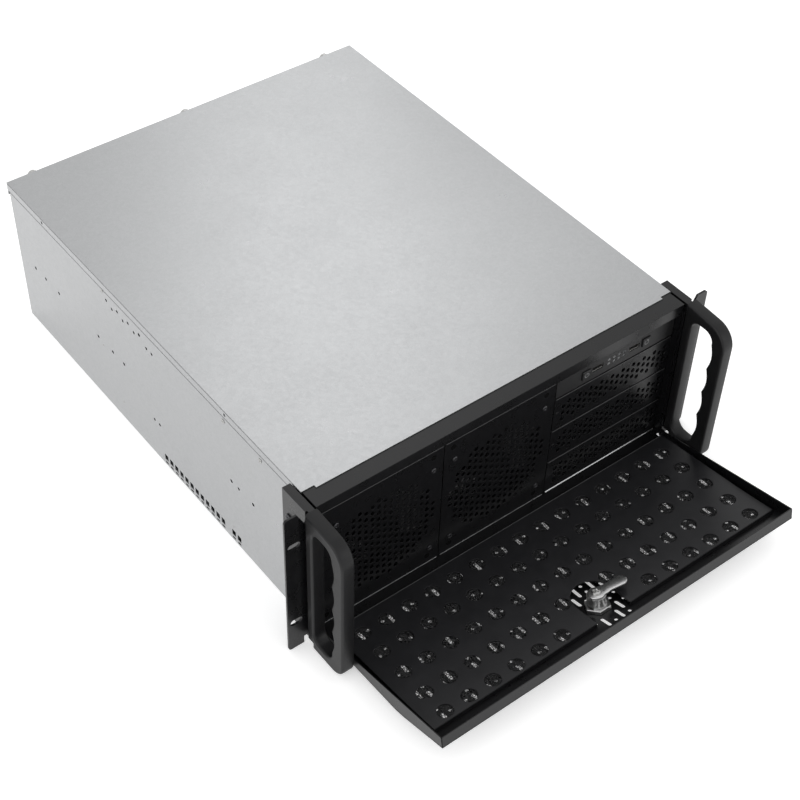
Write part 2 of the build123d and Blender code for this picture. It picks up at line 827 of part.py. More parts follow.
# Rack ears, side spacers and handles, one of each to a side
handle_outside = handle_inside + handle_thick
bolt_x = half_width + spacer_thick / 2
relief_low = case_height - cover_flange - face_gap
gap_rear = spacer_front + handle_bar
gap_front = handle_front - handle_grip - scallop_depth / 2
ear_edge = ear_span / 2
for place, side in (("left", -1), ("right", 1)):
    with BuildPart() as spacer:
        with BuildSketch(Plane.XZ.offset(spacer_front)):
            with Locations((side * (half_width + spacer_thick / 2), (spacer_low + spacer_high) / 2)):
                Rectangle(spacer_thick, spacer_high - spacer_low)
            with Locations((side * (half_width + cover_relief / 2), (relief_low + case_height) / 2)):
                Rectangle(cover_relief, case_height - relief_low, mode=Mode.SUBTRACT)
            with Locations(*[(side * bolt_x, z) for z in bolt_heights]):
                Circle(bolt_radius + screw_play, mode=Mode.SUBTRACT)
        extrude(amount=ear_back - spacer_front - ear_side_length)
        with BuildSketch(Plane.YZ.offset(side * half_width)):
            with Locations(*[(ear_screw_y, z) for z in ear_screw_heights]):
                Circle(screw_radius + screw_play)
        extrude(amount=side * spacer_thick, mode=Mode.SUBTRACT)
    spacer.part.label = f"ear_spacer_{place}"
    export_step(spacer.part, f"parts/ear_spacer_{place}.step")

    fold = side * ear_side_outside
    with BuildPart() as rack_ear:
        with BuildSketch(Plane.XZ.offset(ear_front)):
            with BuildLine():
                Polyline(
                    (side * spacer_outside, heel_low), (side * (ear_edge - ear_foot), heel_low),
                    (side * (ear_edge - ear_foot), 0), (side * ear_edge, 0), (side * ear_edge, case_height),
                    (side * (ear_edge - ear_strip), case_height), (fold, case_height - ear_notch),
                    (fold, spacer_high), (side * spacer_outside, spacer_high), close=True,
                )
            ear_face = make_face()
            ends = ear_face.vertices().filter_by(lambda v: abs(abs(v.X) - ear_edge) < steel)
            fillet(ends, ear_corner)
            foot = ear_face.vertices().filter_by(lambda v: v.Y < steel)
            fillet(foot.filter_by(lambda v: abs(v.X) < ear_edge - ear_foot + steel), ear_corner)
            with Locations((side * ear_slot_span / 2, rack_middle)):
                with GridLocations(1, ear_slot_pitch, 1, 2):
                    SlotOverall(ear_slot_length, ear_slot_height, mode=Mode.SUBTRACT)
        extrude(amount=-ear_thick)
        with BuildSketch(Plane.XZ.offset(ear_back)):
            with Locations((side * (spacer_outside + ear_thick / 2), (heel_low + spacer_high) / 2)):
                Rectangle(ear_thick, spacer_high - heel_low)
        extrude(amount=-ear_side_length)
        with BuildSketch(Plane.YZ.offset(side * spacer_outside)):
            with Locations(*[(ear_screw_y, z) for z in ear_screw_heights]):
                Circle(screw_radius + screw_play)
        extrude(amount=side * ear_thick, mode=Mode.SUBTRACT)
    rack_ear.part.label = f"rack_ear_{place}"
    export_step(rack_ear.part, f"parts/rack_ear_{place}.step")

    with BuildPart() as handle:
        with BuildSketch(Plane.YZ.offset(side * (handle_inside + handle_thick / 2))):
            with BuildLine():
                Polyline(
                    (-spacer_front, handle_high), (-handle_front, handle_high - handle_slope),
                    (-handle_front, handle_low), (-handle_heel, handle_low),
                    (-handle_heel, heel_low), (-spacer_front, heel_low), close=True,
                )
            outline = make_face()
            nose = outline.vertices().group_by(Axis.X)[0].sort_by(Axis.Y)
            fillet(nose[-1], handle_nose)
            chin = outline.vertices().filter_by(lambda v: abs(v.X + handle_front) < steel).sort_by(Axis.Y)
            fillet(chin[0], handle_chin)
            with BuildLine():
                lowest = handle_middle - scallop_pitch * scallop_count / 2
                Polyline(
                    (-gap_front, lowest + scallop_pitch * scallop_count), (-gap_front, gap_high),
                    (-gap_rear, gap_high), (-gap_rear, gap_low), (-gap_front, gap_low), (-gap_front, lowest),
                )
                for i in range(scallop_count):
                    z = lowest + scallop_pitch * i
                    crown = (-gap_front - scallop_depth, z + scallop_pitch / 2)
                    ThreePointArc((-gap_front, z), crown, (-gap_front, z + scallop_pitch))
            grip = make_face(mode=Mode.SUBTRACT)
            fillet(grip.vertices().group_by(Axis.Y)[0], gap_corner)
            fillet(grip.vertices().group_by(Axis.Y)[-1], gap_corner)
        extrude(amount=handle_thick / 2, both=True)
        rims = [face.outer_wire().edges() for face in handle.faces().filter_by(Axis.X)]
        chamfer([edge for rim in rims for edge in rim if edge.center().Y < -gap_rear], handle_edge)
        with BuildSketch(Plane.XY.offset(handle_high - notch_height)):
            with Locations((side * (notch_inside + handle_outside) / 2, -spacer_front - notch_length / 2)):
                Rectangle(handle_outside - notch_inside, notch_length)
        extrude(amount=notch_height, mode=Mode.SUBTRACT)
        with BuildSketch(Plane.XZ.offset(spacer_front)):
            with Locations(*[(side * bolt_x, z) for z in bolt_heights]):
                Circle(bolt_radius + screw_play)
        extrude(amount=bolt_grip + screw_play, mode=Mode.SUBTRACT)
    handle.part.label = f"handle_{place}"
    export_step(handle.part, f"parts/handle_{place}.step")


# Bolts from behind each spacer into its handle
bolt_back = ear_side_length - ear_back
with BuildPart() as handle_bolts:
    with BuildSketch(Plane.XZ.offset(-bolt_back)):
        with Locations(*[(side * bolt_x, z) for side in (-1, 1) for z in bolt_heights]):
            Circle(bolt_radius)
    extrude(amount=bolt_back + spacer_front + bolt_grip)
    with BuildSketch(Plane.XZ.offset(-bolt_back)):
        with Locations(*[(side * bolt_x, z) for side in (-1, 1) for z in bolt_heights]):
            Circle(bolt_head)
    extrude(amount=-bolt_head_height)
handle_bolts.part.label = "handle_bolts"
export_step(handle_bolts.part, "parts/handle_bolts.step")


# Screws through each ear and spacer into the tray
with BuildPart() as ear_screws:
    for side in (-1, 1):
        with BuildSketch(Plane.YZ.offset(side * ear_side_outside)):
            with Locations(*[(ear_screw_y, z) for z in ear_screw_heights]):
                Circle(screw_head)
        extrude(amount=side * screw_head_height)
        with BuildSketch(Plane.YZ.offset(side * ear_side_outside)):
            with Locations(*[(ear_screw_y, z) for z in ear_screw_heights]):
                Circle(screw_radius)
        extrude(amount=side * (tray_inside - ear_side_outside))
ear_screws.part.label = "ear_screws"
export_step(ear_screws.part, "parts/ear_screws.step")


# Thumb screws of the cover's back flange
with BuildPart() as cover_screws:
    with BuildSketch(Plane.XZ.offset(-case_depth)):
        with Locations(*[(x, cover_screw_z) for x in cover_screw_x]):
            RegularPolygon(thumb_radius, 10)
    extrude(amount=-thumb_height)
    with BuildSketch(Plane.XZ.offset(-case_depth)):
        with Locations(*[(x, cover_screw_z) for x in cover_screw_x]):
            Circle(screw_radius)
    extrude(amount=4 * steel)
cover_screws.part.label = "cover_screws"
export_step(cover_screws.part, "parts/cover_screws.step")


# Door planes: sections across the hinge line, and sheets level with the chord of the side flanges
def door_section(x):
    """Plane across the door at x: local x runs up the door and local y inwards."""
    return Plane(origin=(x, door_y, door_z), x_dir=(0, -cos(tilt), sin(tilt)), z_dir=(-1, 0, 0))


def door_sheet(n):
    """Plane level with the door, n inwards of its chord: local x runs across and local y up the door."""
    origin = (0, door_y + n * sin(tilt), door_z + n * cos(tilt))
    return Plane(origin=origin, x_dir=(1, 0, 0), z_dir=(0, -sin(tilt), -cos(tilt)))


low_slope = (door_ridge_depth - door_start_depth) / (door_ridge - door_start)
high_slope = (door_ridge_depth - door_edge_depth) / (door_length - door_ridge)


def skin_depth(u):
    """Depth of the skin's outer face below the chord, away from the rounded ridge."""
    if u < door_ridge:
        return door_start_depth + low_slope * (u - door_start)
    return door_ridge_depth - high_slope * (u - door_ridge)


# Door skin: one bowed sheet with side flanges, a free edge and hinge lobes, perforated with slots
skin_columns = [skin_slot_pitch * i for i in range(-skin_half_columns, skin_half_columns + 1)]
slot_grid = [
    (x, u) for u in plate_rows for x in skin_columns if hypot(x - lock_x, u - lock_u) > skin_lock_clear
]
skin_outer = [
    (door_start, -door_start_depth), (door_ridge, -door_ridge_depth), (door_length, -door_edge_depth),
]
skin_inner = [
    (door_start, steel - door_start_depth), (door_ridge, steel - door_ridge_depth),
    (door_length - steel, steel - skin_depth(door_length - steel)),
]
with BuildPart() as door_skin:
    with BuildSketch(door_section(0)):
        with BuildLine():
            FilletPolyline(*skin_outer, radius=door_ridge_radius)
            Polyline(skin_outer[-1], (door_length, 0), (door_length - steel, 0), skin_inner[-1])
            FilletPolyline(*skin_inner, radius=door_ridge_radius - steel)
            Line(skin_inner[0], skin_outer[0])
        make_face()
    extrude(amount=door_half, both=True)
    for x in (door_half, steel - door_half):
        with BuildSketch(door_section(x)):
            with BuildLine():
                FilletPolyline(*skin_outer, radius=door_ridge_radius)
                Polyline(
                    skin_outer[-1], (door_length, 0), (pin_u - steel, 0), (pin_u - pin_lobe, pin_n),
                    (pin_u + pin_lobe, pin_n), skin_outer[0],
                )
            make_face()
            with Locations((pin_u, pin_n)):
                Circle(pin_lobe)
                Circle(pin_radius + pin_play, mode=Mode.SUBTRACT)
        extrude(amount=steel)
    with BuildSketch(door_sheet(0)):
        with Locations(*slot_grid):
            Rectangle(*skin_slot)
        with Locations((lock_x, lock_u)):
            Circle(lock_barrel + screw_play)
    extrude(amount=2 * door_ridge_depth, mode=Mode.SUBTRACT)
door_skin.part.label = "door_skin"
export_step(door_skin.part, "parts/door_skin.step")


# Inner plate of the door, with its grid of round holes and the window around the lock
hinge_u, hinge_n = plate_points[0]
middle_u, middle_n = plate_points[1]
free_u, free_n = plate_points[2]
near_slope = (middle_n - hinge_n) / (middle_u - hinge_u)
far_slope = (free_n - middle_n) / (free_u - middle_u)
plate_columns_x = [plate_pitch * (i - (plate_columns - 1) / 2) for i in range(plate_columns)]
plate_holes = [
    (x, u) for u in plate_rows for x in plate_columns_x
    if u < plate_window_u - plate_window or abs(x) > plate_window + (plate_hole if u > plate_window_u else 0)
]
with BuildPart() as door_plate:
    with BuildSketch(door_section(0)):
        with BuildLine():
            Polyline(
                *plate_points,
                (free_u, steel - skin_depth(free_u)),
                (free_u - steel, steel - skin_depth(free_u - steel)),
                (free_u - steel, free_n - far_slope * steel - steel),
                (middle_u, middle_n - steel),
                (hinge_u + steel, hinge_n + near_slope * steel - steel),
                (hinge_u + steel, steel - skin_depth(hinge_u + steel)),
                (hinge_u, steel - skin_depth(hinge_u)),
                close=True,
            )
        make_face()
    extrude(amount=plate_half, both=True)
    with BuildSketch(door_sheet(0)):
        with Locations(*plate_holes):
            Circle(plate_hole)
        with Locations((0, plate_window_u)):
            Circle(plate_window)
        with Locations((0, (plate_window_u + door_length) / 2)):
            Rectangle(2 * plate_window, door_length - plate_window_u)
    extrude(amount=2 * door_ridge_depth, mode=Mode.SUBTRACT)
door_plate.part.label = "door_plate"
export_step(door_plate.part, "parts/door_plate.step")


# Filter under the inner plate
with BuildPart() as dust_filter:
    with BuildSketch(door_section(0)):
        with BuildLine():
            start_n = hinge_n + near_slope * (filter_start - hinge_u) - steel
            end_n = free_n - far_slope * (free_u - filter_end) - steel
            full_n = hinge_n + near_slope * (filter_full - hinge_u) - steel
            Polyline(
                (filter_start, start_n), (middle_u, middle_n - steel), (filter_end, end_n),
                (filter_end, end_n - filter_thick), (middle_u, middle_n - steel - filter_thick),
                (filter_full, full_n - filter_thick), (filter_start, start_n - filter_pinch), close=True,
            )
        make_face()
    extrude(amount=filter_half, both=True)
    with BuildSketch(door_sheet(0)):
        with Locations((0, plate_window_u)):
            Circle(plate_window)
        with Locations((0, (plate_window_u + door_length) / 2)):
            Rectangle(2 * plate_window, door_length - plate_window_u)
    extrude(amount=2 * door_ridge_depth, mode=Mode.SUBTRACT)
dust_filter.part.label = "dust_filter"
export_step(dust_filter.part, "parts/dust_filter.step")


# Hinge pins, held in the lugs of the front frame
with BuildPart() as hinge_pins:
    for side in (-1, 1):
        head_outside = door_half - steel - fit
        with BuildSketch(Plane.YZ.offset(side * head_outside)):
            with Locations((pin_y, pin_z)):
                Circle(pin_head)
        extrude(amount=-side * pin_head_thick)
        with BuildSketch(Plane.YZ.offset(side * head_outside)):
            with Locations((pin_y, pin_z)):
                Circle(pin_radius)
        extrude(amount=side * (half_width - head_outside))
hinge_pins.part.label = "hinge_pins"
export_step(hinge_pins.part, "parts/hinge_pins.step")


# Cam lock, square to the upper part of the skin; heights are taken from the skin's inner face
lock_lean = tilt + atan(high_slope)
lock_n = steel - skin_depth(lock_u)


def lock_plane(height):
    """Plane across the lock: local x runs across the case and local y towards the hinge."""
    origin = (
        lock_x,
        door_y - lock_u * cos(tilt) + lock_n * sin(tilt) + height * sin(lock_lean),
        door_z + lock_u * sin(tilt) + lock_n * cos(tilt) + height * cos(lock_lean),
    )
    return Plane(origin=origin, x_dir=(1, 0, 0), z_dir=(0, sin(lock_lean), cos(lock_lean)))


lock_front = -steel - lock_face_thick
with BuildPart() as lock_barrel_body:
    with BuildSketch(lock_plane(lock_front)):
        Circle(lock_face)
    extrude(amount=lock_face_thick)
    with BuildSketch(lock_plane(-steel)):
        Circle(lock_barrel)
        Rectangle(2 * lock_flat, 2 * lock_barrel, mode=Mode.INTERSECT)
    extrude(amount=steel + lock_reach - fit)
    with BuildSketch(lock_plane(lock_front)):
        Circle(lock_plug + shaft_play)
    extrude(amount=-lock_front + lock_reach, mode=Mode.SUBTRACT)
    with BuildSketch(lock_plane(lock_front)):
        Circle(lock_head + shaft_play)
    extrude(amount=lock_head_thick + fit, mode=Mode.SUBTRACT)
lock_barrel_body.part.label = "lock_barrel"
export_step(lock_barrel_body.part, "parts/lock_barrel.step")

with BuildPart() as lock_nut:
    with BuildSketch(lock_plane(0)):
        RegularPolygon(lock_nut_across / 2, 6, major_radius=False)
        Circle(lock_barrel + shaft_play, mode=Mode.SUBTRACT)
    extrude(amount=lock_nut_thick)
lock_nut.part.label = "lock_nut"
export_step(lock_nut.part, "parts/lock_nut.step")

with BuildPart() as lock_core:
    with BuildSketch(lock_plane(lock_front)):
        Circle(lock_head)
    extrude(amount=lock_head_thick)
    with BuildSketch(lock_plane(lock_front)):
        Circle(lock_plug)
    extrude(amount=-lock_front + lock_reach)
    with BuildSketch(lock_plane(lock_reach)):
        Rectangle(lever_square, lever_square, rotation=-lever_turn)
    extrude(amount=lever_thick)
    with BuildSketch(lock_plane(lock_reach + lever_thick)):
        Circle(lever_screw)
    extrude(amount=-lever_screw_grip, mode=Mode.SUBTRACT)
    with BuildSketch(lock_plane(lock_front)):
        Rectangle(*key_slot)
    extrude(amount=key_depth, mode=Mode.SUBTRACT)
lock_core.part.label = "lock_plug"
export_step(lock_core.part, "parts/lock_plug.step")

with BuildPart() as lock_lever:
    with BuildSketch(lock_plane(lock_reach)):
        with Locations(Location((0, 0, 0), (0, 0, -lever_turn))):
            Circle(lever_hub)
        with PolarLocations(lever_length, 1, start_angle=-lever_turn):
            Circle(lever_tip)
        make_hull()
        square = lever_square + screw_play
        Rectangle(square, square, rotation=-lever_turn, mode=Mode.SUBTRACT)
    extrude(amount=lever_thick)
lock_lever.part.label = "lock_lever"
export_step(lock_lever.part, "parts/lock_lever.step")

with BuildPart() as lever_fixing:
    with BuildSketch(lock_plane(lock_reach + lever_thick)):
        Circle(lever_screw_head)
    extrude(amount=lever_screw_height)
    with BuildSketch(lock_plane(lock_reach + lever_thick)):
        Circle(lever_screw)
    extrude(amount=-lever_screw_grip)
lever_fixing.part.label = "lever_screw"
export_step(lever_fixing.part, "parts/lever_screw.step")
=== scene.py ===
"""Looks of a 4U rackmount case: bare galvanised body, black painted front, fold-down perforated door.

Metres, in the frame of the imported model: X across the case, Y from front to back, Z up.
"""
import json
import math
from types import SimpleNamespace

import bmesh
import bpy
from bpy.props import FloatProperty, FloatVectorProperty, PointerProperty, StringProperty
from mathutils import Matrix, Quaternion, Vector


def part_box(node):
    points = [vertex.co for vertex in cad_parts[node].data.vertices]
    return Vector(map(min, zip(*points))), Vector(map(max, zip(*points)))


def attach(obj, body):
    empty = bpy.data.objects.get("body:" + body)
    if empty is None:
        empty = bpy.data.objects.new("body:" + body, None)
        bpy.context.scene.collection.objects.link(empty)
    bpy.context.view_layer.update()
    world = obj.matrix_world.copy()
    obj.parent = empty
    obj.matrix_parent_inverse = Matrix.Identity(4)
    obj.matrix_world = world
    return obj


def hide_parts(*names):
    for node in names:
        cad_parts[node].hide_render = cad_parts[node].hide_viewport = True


bl_info = {
    "name": "Rackmount case looks",
    "version": (1, 0, 0),
    "blender": (4, 5, 0),
    "location": "View3D > Sidebar > Rack case",
    "description": "Dresses a 4U rackmount case with its sheets, perforations, lock and finishes",
    "category": "Object",
}

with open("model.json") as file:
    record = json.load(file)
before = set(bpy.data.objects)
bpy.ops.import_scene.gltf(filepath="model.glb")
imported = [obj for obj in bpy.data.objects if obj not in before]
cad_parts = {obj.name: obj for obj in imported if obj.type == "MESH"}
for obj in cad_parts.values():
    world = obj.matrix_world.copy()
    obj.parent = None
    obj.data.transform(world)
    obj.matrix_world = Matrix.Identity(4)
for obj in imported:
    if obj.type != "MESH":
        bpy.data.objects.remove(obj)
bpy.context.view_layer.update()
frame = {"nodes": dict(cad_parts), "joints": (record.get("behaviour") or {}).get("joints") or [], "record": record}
MM = 0.001


def node_box(name):
    """Lowest and highest corner of a node, in millimetres."""
    low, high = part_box(name)
    return Vector(low) / MM, Vector(high) / MM


def node_middle(name):
    """Middle of a node as seen from the front, in millimetres."""
    low, high = node_box(name)
    return (low.x + high.x) / 2, (low.z + high.z) / 2


LOCK_JOINT = next(joint for joint in frame["joints"] if joint["name"] == "lock_turn")

# The open door leans above level, and its chord starts just ahead of the front
DOOR_LEAN = math.radians(11.8)
DOOR_START = (0, -20 * MM, 7.5 * MM)

# Length of the door along its chord and depth of its free edge below it, in millimetres
DOOR_LENGTH = 174.3
DOOR_EDGE = 11.9

# Window round the lock in the inner plate, in millimetres
WINDOW_MIDDLE = 128
WINDOW_RADIUS = 20

# Reach of a fan's screws from its middle, in millimetres, and the four corners
FAN_SCREW = 52.5
CORNERS = ((-1, -1), (1, -1), (-1, 1), (1, 1))

WHITE = (1, 1, 1, 1)


class CaseSizes(bpy.types.PropertyGroup):
    """Sizes of the detail that is added to the case."""
    fan_field: FloatProperty(
        name="Fan grid radius", description="Radius of the perforated round field",
        default=58.5 * MM, min=10 * MM, subtype="DISTANCE")
    grid_pitch_x: FloatProperty(
        name="Grid pitch across", description="Distance between the columns of holes over the fans and bays",
        default=6.78 * MM, min=3 * MM, subtype="DISTANCE")
    grid_pitch_z: FloatProperty(
        name="Grid pitch up", description="Distance between the holes of a column",
        default=8.1 * MM, min=3 * MM, subtype="DISTANCE")
    grid_hole: FloatProperty(
        name="Grid hole width", description="Width of an oval hole over the fans and bays",
        default=4.5 * MM, min=1 * MM, subtype="DISTANCE")
    skin_pitch: FloatProperty(
        name="Door slot pitch", description="Distance between the columns of door slots",
        default=8.3 * MM, min=5 * MM, subtype="DISTANCE")
    skin_slot: FloatProperty(
        name="Door slot width", description="Width of a door slot and of its dots",
        default=3.6 * MM, min=1 * MM, subtype="DISTANCE")
    skin_slot_length: FloatProperty(
        name="Door slot length", description="Length of a door slot",
        default=13.4 * MM, min=4 * MM, subtype="DISTANCE")
    skin_period: FloatProperty(
        name="Door slot period", description="Distance between the slots of a column",
        default=38.9 * MM, min=10 * MM, subtype="DISTANCE")
    handle_round: FloatProperty(
        name="Handle edge radius", description="Radius of the edges of the handles",
        default=2.2 * MM, min=0.2 * MM, subtype="DISTANCE")


class CaseColours(bpy.types.PropertyGroup):
    """Colours of the case, as sRGB hex, and the place of the camera."""
    galvanised: StringProperty(
        name="Galvanised steel", description="Bare zinc-coated sheet", default="A9AAAB")
    paint: StringProperty(
        name="Black paint", description="Baked black paint of the front", default="101011")
    anodised: StringProperty(
        name="Handle finish", description="Black finish of the handles", default="141415")
    plastic: StringProperty(
        name="Black plastic", description="Moulded fans, strip and buttons", default="131314")
    nickel: StringProperty(
        name="Nickel plating", description="Plating of the cam lock", default="C6C6C6")
    foam: StringProperty(
        name="Filter foam", description="Open foam behind the door", default="19191A")
    floor: StringProperty(
        name="Floor", description="Pale studio floor", default="F4F4F4")
    position: FloatVectorProperty(
        name="Camera position", description="Where the camera stands",
        default=(-0.70328, -0.73399, 1.17459), subtype="XYZ", unit="LENGTH")
    azimuth: FloatProperty(
        name="Camera azimuth", description="Turn round the object",
        default=math.radians(-38.95), subtype="ANGLE")
    elevation: FloatProperty(
        name="Camera elevation", description="Height above the horizon",
        default=math.radians(45.29), subtype="ANGLE")
    roll: FloatProperty(
        name="Camera roll", description="Turn about the line of sight",
        default=math.radians(1.97), subtype="ANGLE")
    lens: FloatProperty(
        name="Lens", description="Focal length, mm", default=72.9, min=10.0, unit="CAMERA")


def settings(group):
    """Names of the properties of a group."""
    return [name for name in group.bl_rna.properties.keys() if name not in {"rna_type", "name"}]


def sizes():
    """The sizes of the detail, in millimetres."""
    group = bpy.context.scene.case_sizes
    return SimpleNamespace(**{name: round(getattr(group, name) / MM, 4) for name in settings(group)})


def colours():
    """The colours of the case and the place of the camera."""
    return bpy.context.scene.case_colours


def linear(code):
    """Linear RGBA of an sRGB hex colour."""
    channels = [int(code[i:i + 2], 16) / 255 for i in (0, 2, 4)]
    return (*[c / 12.92 if c <= 0.04045 else ((c + 0.055) / 1.055) ** 2.4 for c in channels], 1.0)


def shade(code, factor):
    """A lighter or darker neighbour of a hex colour."""
    return "".join(f"{max(0, min(255, round(int(code[i:i + 2], 16) * factor))):02X}" for i in (0, 2, 4))


def feed(tree, node, values=None, links=None):
    """Sets input values and links of a shader node, and returns it."""
    for name, value in (values or {}).items():
        node.inputs[name].default_value = value
    for name, source in (links or {}).items():
        tree.links.new(node.inputs[name], source)
    return node


def add(tree, kind, values=None, links=None, stops=(), **options):
    """Adds one shader node with its options, colour stops, input values and links, and returns it."""
    made = tree.nodes.new(f"ShaderNode{kind}")
    for name, value in options.items():
        setattr(made, name, value)
    if stops:
        for element, (position, code) in zip(made.color_ramp.elements, stops):
            element.position = position
            element.color = linear(code)
    return feed(tree, made, values, links)


def finish_tree(name):
    """A fresh material with its tree, shader and millimetre coordinates."""
    material = bpy.data.materials.new(name)
    material.use_nodes = True
    tree = material.node_tree
    shader = tree.nodes["Principled BSDF"]
    place = add(tree, "TexCoord").outputs["Object"]
    millimetres = add(tree, "VectorMath", {"Scale": 1 / MM}, {"Vector": place}, operation="SCALE")
    return material, tree, shader, millimetres.outputs["Vector"]


# The middle part of a noise, where most of its values lie
MIDDLE = {"From Min": 0.3, "From Max": 0.7}


def galvanised_steel():
    # Hot-dip galvanised steel sheet, skin-passed: grey satin metal, faint flowers of zinc, fine rolled grain
    material, tree, shader, mm = finish_tree("galvanised_steel_skin_passed")
    code = colours().galvanised
    flowers = add(tree, "TexVoronoi", {"Scale": 1 / 3.2, "Randomness": 1.0}, {"Vector": mm}, feature="F1")
    cell = add(tree, "SeparateColor", links={"Color": flowers.outputs["Color"]})
    grain = add(tree, "TexNoise", {"Scale": 1 / 0.9, "Detail": 4.0, "Roughness": 0.7}, {"Vector": mm})
    clouds = add(tree, "TexNoise", {"Scale": 1 / 60, "Detail": 3.0, "Roughness": 0.5}, {"Vector": mm})
    stops = [(0.0, shade(code, 0.98)), (1.0, shade(code, 1.02))]
    tint = add(tree, "ValToRGB", links={"Fac": cell.outputs["Red"]}, stops=stops)
    stops = [(0.3, shade(code, 0.93)), (0.7, shade(code, 1.06))]
    speck = add(tree, "ValToRGB", links={"Fac": grain.outputs["Fac"]}, stops=stops)
    links = {"A": tint.outputs["Color"], "B": speck.outputs["Color"]}
    mixed = add(tree, "Mix", {"Factor": 0.5}, links, data_type="RGBA")
    dull = add(tree, "MapRange", {**MIDDLE, "To Min": 0.27, "To Max": 0.30}, {"Value": clouds.outputs["Fac"]})
    links = {0: cell.outputs["Green"], 2: dull.outputs["Result"]}
    rough = add(tree, "Math", {1: 0.05}, links, operation="MULTIPLY_ADD")
    edge = add(tree, "Bevel", {"Radius": 0.5 * MM}, samples=4)
    links = {"Height": grain.outputs["Fac"], "Normal": edge.outputs["Normal"]}
    relief = add(tree, "Bump", {"Strength": 0.12, "Distance": 0.05 * MM}, links)
    feed(tree, shader, {"Metallic": 1.0}, {
        "Base Color": mixed.outputs["Result"],
        "Roughness": rough.outputs["Value"],
        "Normal": relief.outputs["Normal"],
    })
    return material


def painted_steel(name, code, low, high):
    # Baked black paint over folded steel: satin, a little softened at the edges, with a fine orange peel
    material, tree, shader, mm = finish_tree(name)
    peel = add(tree, "TexNoise", {"Scale": 1 / 1.1, "Detail": 2.0, "Roughness": 0.5}, {"Vector": mm})
    dust = add(tree, "TexNoise", {"Scale": 1 / 14, "Detail": 5.0, "Roughness": 0.65}, {"Vector": mm})
    stops = [(0.35, shade(code, 0.95)), (0.7, shade(code, 1.15))]
    tint = add(tree, "ValToRGB", links={"Fac": dust.outputs["Fac"]}, stops=stops)
    dull = add(tree, "MapRange", {**MIDDLE, "To Min": low, "To Max": high}, {"Value": dust.outputs["Fac"]})
    edge = add(tree, "Bevel", {"Radius": 0.45 * MM}, samples=4)
    links = {"Height": peel.outputs["Fac"], "Normal": edge.outputs["Normal"]}
    relief = add(tree, "Bump", {"Strength": 0.10, "Distance": 0.05 * MM}, links)
    feed(tree, shader, {"Specular IOR Level": 0.32}, {
        "Base Color": tint.outputs["Color"],
        "Roughness": dull.outputs["Result"],
        "Normal": relief.outputs["Normal"],
    })
    return material


def handle_finish():
    # Die-cast aluminium, black powder coat: matt and even, with a fine sandy texture and faint rubbed patches
    material, tree, shader, mm = finish_tree("cast_aluminium_black_powder_coat")
    code = colours().anodised
    sand = add(tree, "TexNoise", {"Scale": 1 / 0.7, "Detail": 3.0, "Roughness": 0.6}, {"Vector": mm})
    wear = add(tree, "TexNoise", {"Scale": 1 / 20, "Detail": 4.0, "Roughness": 0.6}, {"Vector": mm})
    stops = [(0.35, shade(code, 0.95)), (0.7, shade(code, 1.2))]
    tint = add(tree, "ValToRGB", links={"Fac": wear.outputs["Fac"]}, stops=stops)
    dull = add(tree, "MapRange", {**MIDDLE, "To Min": 0.40, "To Max": 0.50}, {"Value": sand.outputs["Fac"]})
    relief = add(tree, "Bump", {"Strength": 0.15, "Distance": 0.06 * MM}, {"Height": sand.outputs["Fac"]})
    feed(tree, shader, {"Specular IOR Level": 0.27}, {
        "Base Color": tint.outputs["Color"],
        "Roughness": dull.outputs["Result"],
        "Normal": relief.outputs["Normal"],
    })
    return material


def moulded_plastic(name, code, low, high, texture, gloss=0.5):
    # Injection-moulded plastic: even colour, with the spark-eroded texture of the mould in the gloss
    material, tree, shader, mm = finish_tree(name)
    spark = add(tree, "TexNoise", {"Scale": 1 / texture, "Detail": 3.0, "Roughness": 0.6}, {"Vector": mm})
    stops = [(0.3, shade(code, 0.92)), (0.7, shade(code, 1.12))]
    tint = add(tree, "ValToRGB", links={"Fac": spark.outputs["Fac"]}, stops=stops)
    dull = add(tree, "MapRange", {**MIDDLE, "To Min": low, "To Max": high}, {"Value": spark.outputs["Fac"]})
    edge = add(tree, "Bevel", {"Radius": 0.3 * MM}, samples=4)
    links = {"Height": spark.outputs["Fac"], "Normal": edge.outputs["Normal"]}
    relief = add(tree, "Bump", {"Strength": 0.12, "Distance": 0.04 * MM}, links)
    feed(tree, shader, {"Specular IOR Level": gloss}, {
        "Base Color": tint.outputs["Color"],
        "Roughness": dull.outputs["Result"],
        "Normal": relief.outputs["Normal"],
    })
    return material


def plated_metal(name, code, low, high, grain):
    # Turned or pressed metal under thin plating: bright, with fine tool marks that spread the highlights
    material, tree, shader, mm = finish_tree(name)
    values = {"Scale": 1 / grain, "Detail": 4.0, "Roughness": 0.6, "Distortion": 0.4}
    marks = add(tree, "TexNoise", values, {"Vector": mm})
    stops = [(0.3, shade(code, 0.93)), (0.7, shade(code, 1.04))]
    tint = add(tree, "ValToRGB", links={"Fac": marks.outputs["Fac"]}, stops=stops)
    dull = add(tree, "MapRange", {**MIDDLE, "To Min": low, "To Max": high}, {"Value": marks.outputs["Fac"]})
    edge = add(tree, "Bevel", {"Radius": 0.25 * MM}, samples=4)
    links = {"Height": marks.outputs["Fac"], "Normal": edge.outputs["Normal"]}
    relief = add(tree, "Bump", {"Strength": 0.08, "Distance": 0.03 * MM}, links)
    feed(tree, shader, {"Metallic": 1.0}, {
        "Base Color": tint.outputs["Color"],
        "Roughness": dull.outputs["Result"],
        "Normal": relief.outputs["Normal"],
    })
    return material


